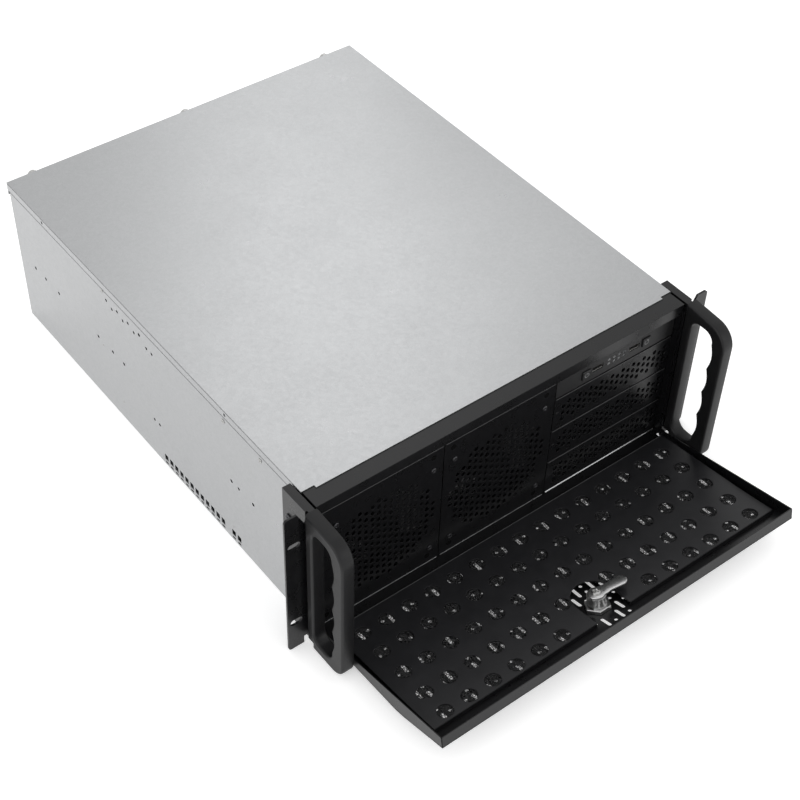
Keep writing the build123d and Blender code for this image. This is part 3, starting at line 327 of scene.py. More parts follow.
def filter_foam():
    # Open-cell polyurethane foam, its 1.3 mm pores drawn at 2.4 mm to show: dark struts, see-through pores
    material, tree, shader, mm = finish_tree("polyurethane_foam_open_cell")
    code = colours().foam
    values = {"Scale": 1 / 2.4, "Randomness": 1.0}
    pores = add(tree, "TexVoronoi", values, {"Vector": mm}, feature="DISTANCE_TO_EDGE")
    stops = [(0.05, shade(code, 1.5)), (0.3, shade(code, 0.7))]
    tint = add(tree, "ValToRGB", links={"Fac": pores.outputs["Distance"]}, stops=stops)
    values = {"From Min": 0.05, "From Max": 0.11, "To Min": 1.0, "To Max": 0.05}
    struts = add(tree, "MapRange", values, {"Value": pores.outputs["Distance"]})
    links = {"Base Color": tint.outputs["Color"], "Alpha": struts.outputs["Result"]}
    feed(tree, shader, {"Roughness": 0.9}, links)
    return material


def clear_plastic():
    # Moulded clear acrylic light guide: smooth, with a faint milky body
    material, tree, shader, mm = finish_tree("acrylic_moulded_clear")
    haze = add(tree, "TexNoise", {"Scale": 1 / 1.5, "Detail": 2.0}, {"Vector": mm})
    stops = [(0.3, "606263"), (0.7, "747677")]
    tint = add(tree, "ValToRGB", links={"Fac": haze.outputs["Fac"]}, stops=stops)
    values = {"Roughness": 0.15, "IOR": 1.49, "Transmission Weight": 0.35}
    feed(tree, shader, values, {"Base Color": tint.outputs["Color"]})
    return material


def circuit_board():
    # Glass-fibre board under green solder mask: semi-gloss, with the weave and tracks faintly showing
    material, tree, shader, mm = finish_tree("fibreglass_green_solder_mask")
    threads = {"Color1": linear("1C4A2E"), "Color2": linear("21543A"), "Mortar": linear("3A7450")}
    weave = add(tree, "TexBrick", {"Scale": 1 / 3.0, "Mortar Size": 0.06, **threads}, {"Vector": mm})
    feed(tree, shader, {"Roughness": 0.35}, {"Base Color": weave.outputs["Color"]})
    return material


def background_ray(tree):
    """1 for the rays that show the background: from the camera, off a gloss or through something clear."""
    rays = add(tree, "LightPath").outputs
    shown = rays["Is Camera Ray"]
    for other in ("Is Glossy Ray", "Is Transmission Ray"):
        shown = add(tree, "Math", links={0: shown, 1: rays[other]}, operation="MAXIMUM").outputs["Value"]
    return shown


MATERIALS = {}


def dress(obj, name):
    """Gives an object one of the finishes in each of its slots."""
    if not obj.material_slots:
        obj.data.materials.append(MATERIALS[name])
    for slot in obj.material_slots:
        slot.material = MATERIALS[name]


SLOT_FINISH = {
    "galvanised_steel": "galvanised",
    "black_painted_steel": "paint",
    "handle_black": "handle",
    "black_plastic": "plastic",
    "board_green": "board",
    "socket_steel": "socket",
    "clear_plastic": "clear",
    "brass": "brass",
    "filter_foam": "foam",
    "screw_steel": "screw",
    "lock_nickel": "nickel",
}


def sheet(name, outline, holes, thick, edge=0.0, curves=8):
    """A flat sheet with holes, in millimetres: local x and y along it, from z = 0 up to its thickness."""
    curve = bpy.data.curves.new(name, "CURVE")
    curve.dimensions = "2D"
    curve.fill_mode = "BOTH"
    curve.extrude = (thick / 2 - edge) * MM
    curve.bevel_depth = edge * MM
    curve.bevel_resolution = 2 if edge > 0.5 else 0
    curve.offset = -edge * MM
    for loop in [outline, *holes]:
        spline = curve.splines.new("POLY")
        spline.points.add(len(loop) - 1)
        for point, (x, y) in zip(spline.points, loop):
            point.co = (x * MM, y * MM, 0, 1)
        spline.use_cyclic_u = True
    helper = bpy.data.objects.new(name, curve)
    bpy.context.scene.collection.objects.link(helper)
    bpy.context.view_layer.update()
    filled = helper.evaluated_get(bpy.context.evaluated_depsgraph_get())
    mesh = bpy.data.meshes.new_from_object(filled)
    bpy.data.objects.remove(helper)
    bpy.data.curves.remove(curve)
    mesh.transform(Matrix.Translation((0, 0, thick / 2 * MM)))
    mesh.name = name
    return mesh


def around(x, y, radius, angle, stretch=1.0):
    """Point on a circle or, stretched along y, on an oval."""
    return x + radius * math.cos(angle), y + stretch * radius * math.sin(angle)


def ring(x, y, radius, count, stretch=1.0):
    """Points of a regular polygon or, stretched along y, of an oval."""
    return [around(x, y, radius, 2 * math.pi * i / count, stretch) for i in range(count)]


def arc(x, y, radius, start, stop, count):
    """Points along a part of a circle, from one turn to another in degrees."""
    turns = [math.radians(start + (stop - start) * i / count) for i in range(count + 1)]
    return [around(x, y, radius, turn) for turn in turns]


def obround(x, y, width, length, count=4):
    """Points of a slot with round ends, long in y."""
    radius, half = width / 2, (length - width) / 2
    return arc(x, y + half, radius, 0, 180, count) + arc(x, y - half, radius, 180, 360, count)


def box_loop(x0, x1, y0, y1):
    """Corners of a rectangle."""
    return [(x0, y0), (x1, y0), (x1, y1), (x0, y1)]


def piece(name, mesh, finish, body, replaced=(), smooth=30):
    """Puts a mesh on a body with its finish, in place of the nodes it stands for."""
    obj = bpy.data.objects.new(name, mesh)
    bpy.context.scene.collection.objects.link(obj)
    if smooth:
        mesh.shade_smooth()
        mesh.set_sharp_from_angle(angle=math.radians(smooth))
    mesh.materials.clear()
    dress(obj, finish)
    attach(obj, body)
    if replaced:
        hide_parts(*replaced)
    return obj


def joined(name, meshes):
    """One mesh from several."""
    bm = bmesh.new()
    for mesh in meshes:
        bm.from_mesh(mesh)
    made = bpy.data.meshes.new(name)
    bm.to_mesh(made)
    bm.free()
    return made


def bridged(rows):
    """A closed mesh over rows of points in millimetres, where a row of one point is a pole."""
    bm = bmesh.new()
    rows = [[bm.verts.new([value * MM for value in point]) for point in row] for row in rows]
    for a, b in zip(rows, rows[1:]):
        steps = max(len(a), len(b))
        for i in range(steps):
            j = (i + 1) % steps
            corners = list(dict.fromkeys([a[i % len(a)], a[j % len(a)], b[j % len(b)], b[i % len(b)]]))
            if len(corners) > 2:
                bm.faces.new(corners)
    for end in (rows[0][::-1], rows[-1]):
        if len(end) > 1:
            bm.faces.new(end)
    bmesh.ops.recalc_face_normals(bm, faces=bm.faces)
    mesh = bpy.data.meshes.new("bridged")
    bm.to_mesh(mesh)
    bm.free()
    return mesh


def turned(profile, steps):
    """A mesh turned about local z from (radius, height) points in millimetres, closed at radius 0."""
    rows = []
    for radius, height in profile:
        points = ring(0, 0, radius, steps if radius else 1)
        rows.append([(x, y, height) for x, y in points])
    return bridged(rows)


# Circles of a screw's head as shares of its radius, closer where the recess steps down
HEAD_CIRCLES = (0.0, 0.1, 0.16, 0.2, 0.28, 0.36, 0.44, 0.52, 0.6, 0.66, 0.74, 0.84, 0.92, 0.97, 1.0)


def cross_head(radius, height, recess):
    """A pan-head screw's head in millimetres with a cross recess, standing on local z = 0."""
    steps, arm_half, arm_reach = 48, 0.16, 0.62

    def depth(x, y):
        along_x = max(abs(y) / arm_half, abs(x) / arm_reach)
        along_y = max(abs(x) / arm_half, abs(y) / arm_reach)
        return recess * max(0.0, min(1.0, (1.15 - min(along_x, along_y)) * 4))

    rows = []
    for share in HEAD_CIRCLES:
        crown = height * (1 - 0.35 * share ** 4 - 0.1 * share ** 2)
        points = ring(0, 0, share, steps if share else 1)
        rows.append([(x * radius, y * radius, crown - depth(x, y)) for x, y in points])
    rows.append([(x, y, 0) for x, y in ring(0, 0, radius, steps)])
    rows.append([(0, 0, 0)])
    return bridged(rows)


def placed(mesh, matrix):
    """A copy of a mesh, moved."""
    made = mesh.copy()
    made.transform(matrix)
    return made


def facing(point, direction, turn=0.0):
    """Matrix that takes local z to a direction and the origin to a point in millimetres."""
    aim = Vector(direction).to_track_quat("Z", "Y") @ Quaternion((0, 0, 1), turn)
    return Matrix.Translation(Vector(point) * MM) @ aim.to_matrix().to_4x4()


FRONT = Matrix(((1, 0, 0, 0), (0, 0, -1, 0), (0, 1, 0, 0), (0, 0, 0, 1)))


def front_sheet(mesh, y):
    """Stands a sheet up in the front: local x across, local y up, its thickness running forwards from y."""
    mesh.transform(Matrix.Translation((0, y * MM, 0)) @ FRONT)
    return mesh


def sideways(side, x, along=1):
    """Matrix that stands a sheet up along a side: local x to Y, local y up, its thickness outwards from x."""
    return Matrix(((0, 0, side, x * MM), (along, 0, 0, 0), (0, 1, 0, 0), (0, 0, 0, 1)))


class CASE_OT_stage(bpy.types.Operator):
    """Camera at the photograph's angle, pale floor and soft studio light"""
    bl_idname = "case.stage"
    bl_label = "Stage"

    def execute(self, context):
        look = colours()
        scene = context.scene
        camera = bpy.data.objects.new("camera", bpy.data.cameras.new("camera"))
        scene.collection.objects.link(camera)
        a, e = look.azimuth, look.elevation
        back = Vector((math.sin(a) * math.cos(e), -math.cos(a) * math.cos(e), math.sin(e)))
        roll = Quaternion((0, 0, 1), look.roll)
        camera.rotation_mode = "QUATERNION"
        camera.rotation_quaternion = (-back).to_track_quat("-Z", "Y") @ roll
        camera.location = look.position
        camera.data.lens = look.lens
        camera.data.sensor_width = 36.0
        camera.data.clip_end = 20.0
        scene.camera = camera

        radius, thick, gap = 6000, 10, 0.1
        floor = bpy.data.objects.new("floor", sheet("floor", ring(0, 0, radius, 64), [], thick))
        floor.location = (0, 0.2, -(thick + gap) * MM)
        scene.collection.objects.link(floor)
        material, tree, shader, _ = finish_tree("studio_floor_matt_paint")
        feed(tree, shader, {"Base Color": linear(look.floor), "Roughness": 0.9, "Specular IOR Level": 0.1})
        glow = add(tree, "Emission", {"Color": WHITE, "Strength": 0.42})
        both = add(tree, "AddShader", links={0: shader.outputs["BSDF"], 1: glow.outputs["Emission"]})
        links = {"Fac": background_ray(tree), 1: shader.outputs["BSDF"], 2: both.outputs["Shader"]}
        pick = add(tree, "MixShader", links=links)
        feed(tree, tree.nodes["Material Output"], links={"Surface": pick.outputs["Shader"]})
        floor.data.materials.append(material)

        world = bpy.data.worlds.new("studio")
        scene.world = world
        world.use_nodes = True
        tree = world.node_tree
        light = feed(tree, tree.nodes["Background"], {"Color": WHITE, "Strength": 0.85})
        white = add(tree, "Background", {"Color": WHITE, "Strength": 1.0})
        links = {"Fac": background_ray(tree), 1: light.outputs["Background"], 2: white.outputs["Background"]}
        pick = add(tree, "MixShader", links=links)
        feed(tree, tree.nodes["World Output"], links={"Surface": pick.outputs["Shader"]})

        for name, place, target, wide, deep, watts in [
            ("key_softbox", (0.73, 1.32, 1.86), (-0.17, 0.03, 0.17), 0.8, 0.8, 1.4),
            ("rear_softbox", (1.15, 2.04, 1.49), (0.1, 0.47, 0.17), 0.6, 0.6, 0.9),
            ("side_softbox", (-2.0, -0.3, 0.9), (-0.2, 0.2, 0.1), 1.3, 1.3, 8.0),
            ("front_softbox", (0.9, -1.9, 1.1), (0.0, 0.0, 0.05), 1.0, 1.0, 5.0),
            ("door_strip_light", (0.96, 1.27, 1.39), (-0.04, -0.135, 0.024), 0.8, 0.2, 0.35),
        ]:
            lamp = bpy.data.objects.new(name, bpy.data.lights.new(name, "AREA"))
            lamp.data.shape = "RECTANGLE"
            lamp.data.size = wide
            lamp.data.size_y = deep
            lamp.data.energy = watts
            lamp.location = place
            lamp.rotation_mode = "QUATERNION"
            lamp.rotation_quaternion = (Vector(target) - Vector(place)).to_track_quat("-Z", "Y")
            scene.collection.objects.link(lamp)
        scene.view_settings.view_transform = "Standard"
        return {"FINISHED"}


class CASE_OT_finishes(bpy.types.Operator):
    """Makes the finishes and gives every node of the frame its own"""
    bl_idname = "case.finishes"
    bl_label = "Finishes"

    def execute(self, context):
        look = colours()
        MATERIALS.update({
            "galvanised": galvanised_steel(),
            "paint": painted_steel("steel_baked_black_paint", look.paint, 0.26, 0.31),
            # The door's inner plate: the same black paint made lighter, as painted light from above falling on the
            # plate
            "plate": painted_steel("steel_black_paint_lightened_for_painted_light", shade(look.paint, 1.7), 0.36, 0.42),
            "handle": handle_finish(),
            "plastic": moulded_plastic("abs_moulded_black", look.plastic, 0.42, 0.55, 0.5),
            "board": circuit_board(),
            "socket": plated_metal("steel_pressed_nickel_plate", "B9B8B5", 0.28, 0.4, 1.2),
            "clear": clear_plastic(),
            "ink": moulded_plastic("pad_printed_grey_ink", "7C7D7E", 0.5, 0.6, 0.8),
            # Darker galvanised strips at the fold and lower edge of the cover's flanges: painted shade
            "shade": plated_metal("galvanised_darkened_as_painted_shade_lines", "77787A", 0.34, 0.44, 0.9),
            # Near-black thin discs laid where holes are: painted shade of the holes' insides
            "painted_hole_shade": moulded_plastic("black_matt_disc_as_painted_hole_shade", "060606", 0.85, 0.95, 1.0, 0.08),
            # Lighter black at the folds of the panels and the plate: painted highlights where light catches the
            # folded edges
            "fold": moulded_plastic("black_paint_lightened_as_painted_fold_highlight", "3C3C3D", 0.28, 0.38, 0.9),
            "brass": plated_metal("brass_turned", "C9A45C", 0.25, 0.38, 0.8),
            "foam": filter_foam(),
            "screw": plated_metal("steel_pressed_zinc_plate", "B4B4B2", 0.28, 0.42, 0.7),
            "dark_screw": plated_metal("steel_pressed_black_zinc", "48484A", 0.30, 0.42, 0.7),
            "nickel": plated_metal("zinc_cast_nickel_plate", look.nickel, 0.26, 0.36, 1.6),
        })
        slots = {entry["node"]: entry["material_slot"] for entry in frame["record"]["subparts"]}
        for name, obj in frame["nodes"].items():
            dress(obj, "dark_screw" if name == "hinge_pins" else SLOT_FINISH[slots[name]])
        return {"FINISHED"}


def grid_oval(x, z):
    """Outline of one oval hole over the fans and bays."""
    return ring(x, z, sizes().grid_hole / 2, 10, 1.2)


class CASE_OT_fan_grids(bpy.types.Operator):
    """Panels over the fans, with the fine round field of holes"""
    bl_idname = "case.fan_grids"
    bl_label = "Fan grids"

    def execute(self, context):
        s = sizes()
        screw_hole, socket = 2.3, 2.9
        dots = []
        for place in ("left", "centre"):
            low, high = node_box(f"fan_panel_{place}")
            cx, cz = node_middle(f"fan_frame_{place}")
            holes = []
            count = int(s.fan_field / s.grid_pitch_x) + 1
            for i in range(-count, count + 1):
                for k in range(-count, count + 1):
                    x, z = s.grid_pitch_x * i, s.grid_pitch_z * (k + 0.5 * (i % 2))
                    if math.hypot(x, z) < s.fan_field - s.grid_hole / 2:
                        holes.append(grid_oval(cx + x, cz + z))
            for sx, sz in CORNERS:
                holes.append(ring(cx + sx * FAN_SCREW, cz + sz * FAN_SCREW, screw_hole, 16))
            top, foot = high.z - 9, low.z + 8.5
            for x, z in ((low.x + 10, top), (high.x - 11, top), (high.x - 13, foot), (low.x + 12, foot)):
                # Thin near-black discs at the panel corners: painted shade of the corner holes
                dots.append(front_sheet(sheet("dot", ring(x, z, socket, 20), [], 0.06), low.y))
            name = f"fan_grid_{place}"
            mesh = sheet(name, box_loop(low.x, high.x, low.z, high.z), holes, high.y - low.y)
            mesh = front_sheet(mesh, high.y)
            piece(name, mesh, "paint", "chassis", [f"fan_panel_{place}"])
        made = joined("panel_corner_sockets", dots)
        piece("panel_corner_sockets", made, "painted_hole_shade", "chassis")
        return {"FINISHED"}


class CASE_OT_bay_covers(bpy.types.Operator):
    """Covers of the drive bays, with their staggered rows of oval holes"""
    bl_idname = "case.bay_covers"
    bl_label = "Bay covers"

    def execute(self, context):
        s = sizes()
        metal, columns, rows, margin_x, margin_z = 1.0, 20, 3, 6.5, 11.0
        dimple = turned([(0, 0.0), (1.6, 0.0), (1.9, 0.35), (1.9, 0.6), (0, 0.6)], 20)
        for place in ("bottom", "middle", "top"):
            low, high = node_box(f"bay_cover_{place}")
            face = low.y + metal
            holes = []
            for i in range(columns):
                for k in range(rows):
                    x = high.x - margin_x - s.grid_pitch_x * i
                    z = high.z - margin_z - s.grid_pitch_z * (k + 0.5 * (i % 2))
                    holes.append(grid_oval(x, z))
            parts = [front_sheet(sheet("bay", box_loop(low.x, high.x, low.z, high.z), holes, metal), face)]
            for x in (low.x + 1.35, high.x - 2.35):
                leg = sheet("leg", box_loop(x, x + metal, low.z + 2, high.z - 2), [], high.y - face)
                parts.append(front_sheet(leg, high.y))
            for x in (low.x + 4.5, high.x - 4.5):
                spot = (x, low.y - 0.3, (low.z + high.z) / 2)
                parts.append(placed(dimple, facing(spot, (0, 1, 0))))
            name = f"bay_grid_{place}"
            made = joined(name, parts)
            piece(name, made, "paint", "chassis", [f"bay_cover_{place}"])
        return {"FINISHED"}


def in_door(mesh):
    """Takes a mesh into the door: local x across, y along it from its hinge end, z inwards from the chord."""
    cosine, sine = math.cos(DOOR_LEAN), math.sin(DOOR_LEAN)
    along, inwards = (0, -cosine, sine), (0, sine, cosine)
    rows = [(x, along[i], inwards[i], DOOR_START[i]) for i, x in enumerate((-1, 0, 0))]
    mesh.transform(Matrix((*rows, (0, 0, 0, 1))))
    mesh.flip_normals()
    return mesh


def bow(u, start, ridge, end, reach):
    """Depth in millimetres of a sheet with one bend: two straight runs, and a parabola over its reach."""
    low = (ridge[1] - start[1]) / (ridge[0] - start[0])
    high = (end[1] - ridge[1]) / (end[0] - ridge[0])
    near = u - ridge[0]
    depth = ridge[1] + (low if near < 0 else high) * near
    if abs(near) < reach:
        depth -= (low - high) / (4 * reach) * (reach - abs(near)) ** 2
    return depth


def skin_depth(u):
    """Depth of the door skin's outer face below the chord."""
    return bow(u, (8.0, 2.5), (113.4, 18.2), (DOOR_LENGTH, DOOR_EDGE), 10.7)


def plate_depth(u):
    """Depth of the inner plate's top below the chord."""
    return bow(u, (9.4, 0.3), (118.0, 7.6), (156.0, 8.6), 14.0)


def door_window(half, start, end):
    """Outline of a sheet of the door, with the window round the lock that opens at its free end."""
    window = arc(0, WINDOW_MIDDLE, WINDOW_RADIUS, 0, -180, 16)
    corners = [(-half, start), (half, start), (half, end), (WINDOW_RADIUS, end)]
    return [*corners, *window, (-WINDOW_RADIUS, end), (-half, end)]


def bent(mesh, depth, cuts):
    """Bends a flat sheet to a depth profile along y, after cutting it where the profile turns."""
    bm = bmesh.new()
    bm.from_mesh(mesh)
    for y in cuts:
        parts = bm.verts[:] + bm.edges[:] + bm.faces[:]
        bmesh.ops.bisect_plane(bm, geom=parts, plane_co=(0, y * MM, 0), plane_no=(0, 1, 0), dist=1e-7)
    for v in bm.verts:
        v.co.z -= depth(v.co.y / MM) * MM
    bm.to_mesh(mesh)
    bm.free()
    return mesh


class CASE_OT_door_skin(bpy.types.Operator):
    """Bowed skin of the door, with its columns of slots and dots, side flanges and free edge"""
    bl_idname = "case.door_skin"
    bl_label = "Door skin"

    def execute(self, context):
        s = sizes()
        half = node_box("door_skin")[1].x
        metal, start = 1.0, 8
        lock_x, lock_u, lock_radius, lock_clear = 1.0, 136, 9.1, 11.5

        # Every other column of slots lags, and the field reaches further out beside the lock
        shift, first_slot, lag, margin = 1.7, 0.8, 9.1, 10
        field_start, field_end, notch_end, notch_half = 14, 155.5, 164, 18
        holes = []
        columns = int((half - margin) / s.skin_pitch)
        for i in range(-columns, columns + 1):
            x = s.skin_pitch * i + shift
            first = first_slot - (0 if i % 2 else lag)
            open_end = notch_end if abs(x) < notch_half else field_end
            for k in range(3 * int(DOOR_LENGTH / s.skin_period) + 6):
                u = first + s.skin_period / 3 * k
                slot = k % 3 == 0
                reach = (s.skin_slot_length if slot else s.skin_slot) / 2
                clear = math.hypot(x - lock_x, max(0.0, abs(u - lock_u) - reach))
                if u - reach <= field_start or u + reach >= open_end or clear <= lock_clear:
                    continue
                if slot:
                    holes.append(obround(x, u, s.skin_slot, s.skin_slot_length))
                else:
                    holes.append(ring(x, u, reach, 10))
        holes.append(ring(lock_x, lock_u, lock_radius, 32))
        cuts = [99 + 2.4 * i for i in range(13)]
        skin = sheet("skin", box_loop(-half, half, start, DOOR_LENGTH), holes, metal)
        meshes = [bent(skin, skin_depth, cuts)]

        corner = Matrix.Translation((0, DOOR_LENGTH * MM, -DOOR_EDGE * MM))
        edge = sheet("free edge", box_loop(-half, half, 0, DOOR_EDGE), [], metal)
        meshes.append(placed(edge, corner @ Matrix.Rotation(math.radians(90), 4, "X")))

        pin_u, pin_z, lobe, pin_hole = 4.46, -4.86, 3.6, 1.66
        profile = [(start, -2.5)] + [(u, -skin_depth(u)) for u in (60, *cuts, 150)]
        profile += [(DOOR_LENGTH, -DOOR_EDGE), (DOOR_LENGTH, 0), (3.46, 0), (pin_u - lobe, pin_z)]
        profile += [*arc(pin_u, pin_z, lobe, 195, 345, 10), (pin_u + lobe, pin_z)]
        side = sheet("side flange", profile, [ring(pin_u, pin_z, pin_hole, 24)], metal)
        meshes += [placed(side, sideways(1, x)) for x in (-half, half - metal)]
        made = in_door(joined("door_shell", meshes))
        piece("door_shell", made, "paint", "door", ["door_skin"])
        return {"FINISHED"}


class CASE_OT_door_plate(bpy.types.Operator):
    """Inner plate of the door, softly bent, with its grid of round holes, and the foam filter under it"""
    bl_idname = "case.door_plate"
    bl_label = "Door plate"

    def execute(self, context):
        half = node_box("door_plate")[1].x
        metal, start, end = 1.0, 9.4, 156
        hole, pitch = 7.75, 26.12
        holes = []
        for u in (29.6, 57.5, 88.2, 118.1, 146.0):
            for i in range(-7, 8):
                x = pitch * i
                if u < 108 or abs(x) > WINDOW_RADIUS + (hole if u > WINDOW_MIDDLE else 0):
                    holes.append(ring(x, u, hole, 28))
        cuts = [104 + 2.8 * i for i in range(11)]
        plate = sheet("plate", door_window(half, start, end), holes, metal)
        meshes = [bent(plate, lambda u: plate_depth(u) + metal, cuts)]
        for u, spans in ((9.9, [(-half, half)]), (155.5, [(-half, -WINDOW_RADIUS), (WINDOW_RADIUS, half)])):
            stand = Matrix(((1, 0, 0, 0), (0, 0, 1, (u - metal / 2) * MM), (0, 1, 0, 0), (0, 0, 0, 1)))
            for near, far in spans:
                outline = box_loop(near, far, metal - skin_depth(u), -plate_depth(u) - 0.4)
                meshes.append(placed(sheet("wall", outline, [], metal), stand))
        made = in_door(joined("door_plate_bent", meshes))
        # The plate's lighter paint is painted light from above
        piece("door_plate_bent", made, "plate", "door", ["door_plate"])

        half = node_box("dust_filter")[1].x
        foam, gap = 0.9, 1.15
        top = sheet("foam", door_window(half, 18, 154), [], foam)
        top = in_door(bent(top, lambda u: plate_depth(u) + foam + gap, cuts))
        piece("filter_foam_sheet", top, "foam", "door", ["dust_filter"])
        return {"FINISHED"}


class CASE_OT_handles(bpy.types.Operator):
    """Handles with rounded edges and finger scallops"""
    bl_idname = "case.handles"
    bl_label = "Handles"

    def execute(self, context):
        r = sizes().handle_round
        back, front, base, foot_start, foot = 22.5, 74.5, 9.0, 30, 2.5
        top_round, foot_round, drop, wide = 22, 15, 2.2, 13.5
        near, far, ceiling, sill, corner = 31.7, 58.5, 161, 24, 10
        finger, scallop, steps = 30.5, 3.0, 8
        for place, side in (("left", -1), ("right", 1)):
            high = node_box(f"handle_{place}")[1]
            outline = [(back, base), (back, high.z)]
            outline += arc(front - top_round, high.z - top_round - drop, top_round, 86, 0, 12)
            outline += arc(front - foot_round, foot + foot_round, foot_round, 0, -90, 10)
            outline += [(foot_start, foot), (foot_start, base)]
            grip = arc(near + corner, ceiling - corner, corner, 180, 90, 8)
            grip += arc(far - corner, ceiling - corner, corner, 90, 0, 8)
            for i in range(4):
                top = 88.7 + finger * (2 - i)
                for k in range(steps + 1):
                    grip.append((far + scallop * math.sin(math.pi * k / steps), top - finger * k / steps))
            grip += arc(far - corner, sill, corner, 0, -90, 8)
            grip += arc(near + corner, sill, corner, 270, 180, 8)
            name = f"handle_{place}_body"
            mesh = sheet(name, outline, [grip], wide, r)
            mesh.transform(sideways(side, side * 210.3, -1))
            if side < 0:
                mesh.flip_normals()
            piece(name, mesh, "handle", "chassis", [f"handle_{place}"], 40)
        return {"FINISHED"}


class CASE_OT_lock(bpy.types.Operator):
    """Cam lock: crowned lever, its cross-recessed screw and the hexagon nut"""
    bl_idname = "case.lock"
    bl_label = "Cam lock"

    def execute(self, context):
        axis = -Vector(LOCK_JOINT["axis"])
        across = Vector((1, 0, 0))
        stand = Matrix((across, axis.cross(across), axis)).transposed().to_4x4()
        stand.translation = Vector(LOCK_JOINT["pos_m"])

        # Outline of the lever round its hub and tip, and its layers as (inset, height), crowned at the top
        hub, tip, reach, top = 8.2, 6.5, 26.8, 16.3
        waist = [(20.5, 5.9), (16.0, 5.3), (12.0, 5.4), (8.6, 6.2)]
        outline = arc(reach, 0, tip, -96, 96, 14) + waist + arc(0, 0, hub, 52, 308, 24)
        outline += [(x, -y) for x, y in reversed(waist)]
        layers = []
        for inset, height in ((0.35, 14.3), (0.0, 14.55), (0.0, 15.85), (0.2, 16.15), (0.55, top)):
            layer = []
            for x, y in outline:
                base = Vector((min(max(x, 0.0), reach), 0.0))
                out = Vector((x, y)) - base
                layer.append((*(base + out * (1 - inset / out.length)), height))
            layers.append(layer)
        lever = bridged(layers)
        lever.transform(stand @ Matrix.Rotation(math.radians(-5), 4, "Z"))
        piece("cam_lever", lever, "nickel", "lock", ["lock_lever"], 35)

        seat = stand @ Matrix.Translation((0, 0, top * MM)) @ Matrix.Rotation(0.5, 4, "Z")
        head = placed(cross_head(4.2, 2.4, 1.3), seat)
        piece("lever_screw_head", head, "screw", "lock", ["lever_screw"], 40)

        half_flats, bore, thick, edge = 11, 9.1, 4.0, 0.4
        hexagon = ring(0, 0, half_flats / math.cos(math.pi / 6), 6)
        nut = sheet("nut", hexagon, [ring(0, 0, bore, 40)], thick, edge)
        nut.transform(stand)
        piece("lock_nut_plated", nut, "nickel", "door", ["lock_nut"], 35)
        return {"FINISHED"}


class CASE_OT_folds(bpy.types.Operator):
    """Painted highlights as thin lighter lines at the folds of the front panels and of the door plate, and thin
    strips at the tray's bare edge
    """
    bl_idname = "case.folds"
    bl_label = "Panel folds"

    def execute(self, context):
        folds, feet = [], []
        bays = [f"bay_cover_{place}" for place in ("bottom", "middle", "top")]
        for name in ("fan_panel_left", "fan_panel_centre", *bays):
            low, high = node_box(name)
            # A lighter strip along each panel's top fold: painted highlight
            fold = sheet("fold", box_loop(low.x + 1, high.x - 1, high.z - 0.9, high.z), [], 0.5, 0.2)
            folds.append(front_sheet(fold, low.y))
            if low.z < 4:
                wide, lean = (1.1, 45) if name.startswith("bay") else (0.7, 70)
                foot = sheet("foot", box_loop(low.x + 1.5, high.x - 1.5, -wide / 2, wide / 2), [], 0.3)
                spot = Matrix.Translation((0, (low.y - 0.5) * MM, (low.z - 0.7) * MM))
                feet.append(placed(foot, spot @ Matrix.Rotation(math.radians(lean), 4, "X")))
        half = node_box("door_plate")[1].x - 1
        # A lighter strip along the plate's hinge-side edge: painted highlight
        rim = sheet("rim", box_loop(-half, half, 9.4, 10.2), [], 0.5, 0.2)
        rim = in_door(placed(rim, Matrix.Translation((0, 0, -0.65 * MM))))
        piece("door_plate_rim", rim, "fold", "door")
        piece("panel_folds", joined("panel_folds", folds), "fold", "chassis")
        piece("tray_edges", joined("tray_edges", feet), "galvanised", "chassis")
        return {"FINISHED"}


class CASE_OT_cover_lines(bpy.types.Operator):
    """Painted shade lines at the fold and lower edge of the cover's flanges, the small pierced rivets, and a spare
    hole of the sides drawn as a dark disc of painted shade
    """
    bl_idname = "case.cover_lines"
    bl_label = "Cover lines"

    def execute(self, context):
        low, high = node_box("top_cover")
        wall = node_box("chassis_tray")[1].x
        lines, rivets, holes = [], [], []
        half, thick = 0.35, 0.12
        rivet = turned([(0, 0.35), (0.8, 0.3), (1.3, 0.0), (0, 0.0)], 16)
        # A thin dark disc for the spare hole: painted shade of its inside
        spare = turned([(0, 0.06), (1.8, 0.06), (1.8, 0.0), (0, 0.0)], 20)
        for side in (-1, 1):
            out = (side, 0, 0)
            # Two thin darker strips on each side, at the fold and at the flange's lower edge: painted shade
            for z in (high.z - 0.9, high.z - 9.5):
                line = sheet("line", box_loop(low.y + 2, high.y - 2, z - half, z + half), [], thick)
                line.transform(sideways(side, side * high.x))
                if side < 0:
                    line.flip_normals()
                lines.append(line)
            for y, z in ((340.7, 79.3), (311.9, 23.9), (116.1, 18.8)):
                rivets.append(placed(rivet, facing((side * wall, y, z), out)))
            holes.append(placed(spare, facing((side * wall, 261.0, 152.8), out)))
        for name, meshes, finish, slot in (
            ("cover_lines", lines, "shade", "galvanised_steel"),
            ("side_rivets", rivets, "screw", "screw_steel"),
            ("side_spare_holes", holes, "painted_hole_shade", "galvanised_steel"),
        ):
            piece(name, joined(name, meshes), finish, "chassis")
        return {"FINISHED"}


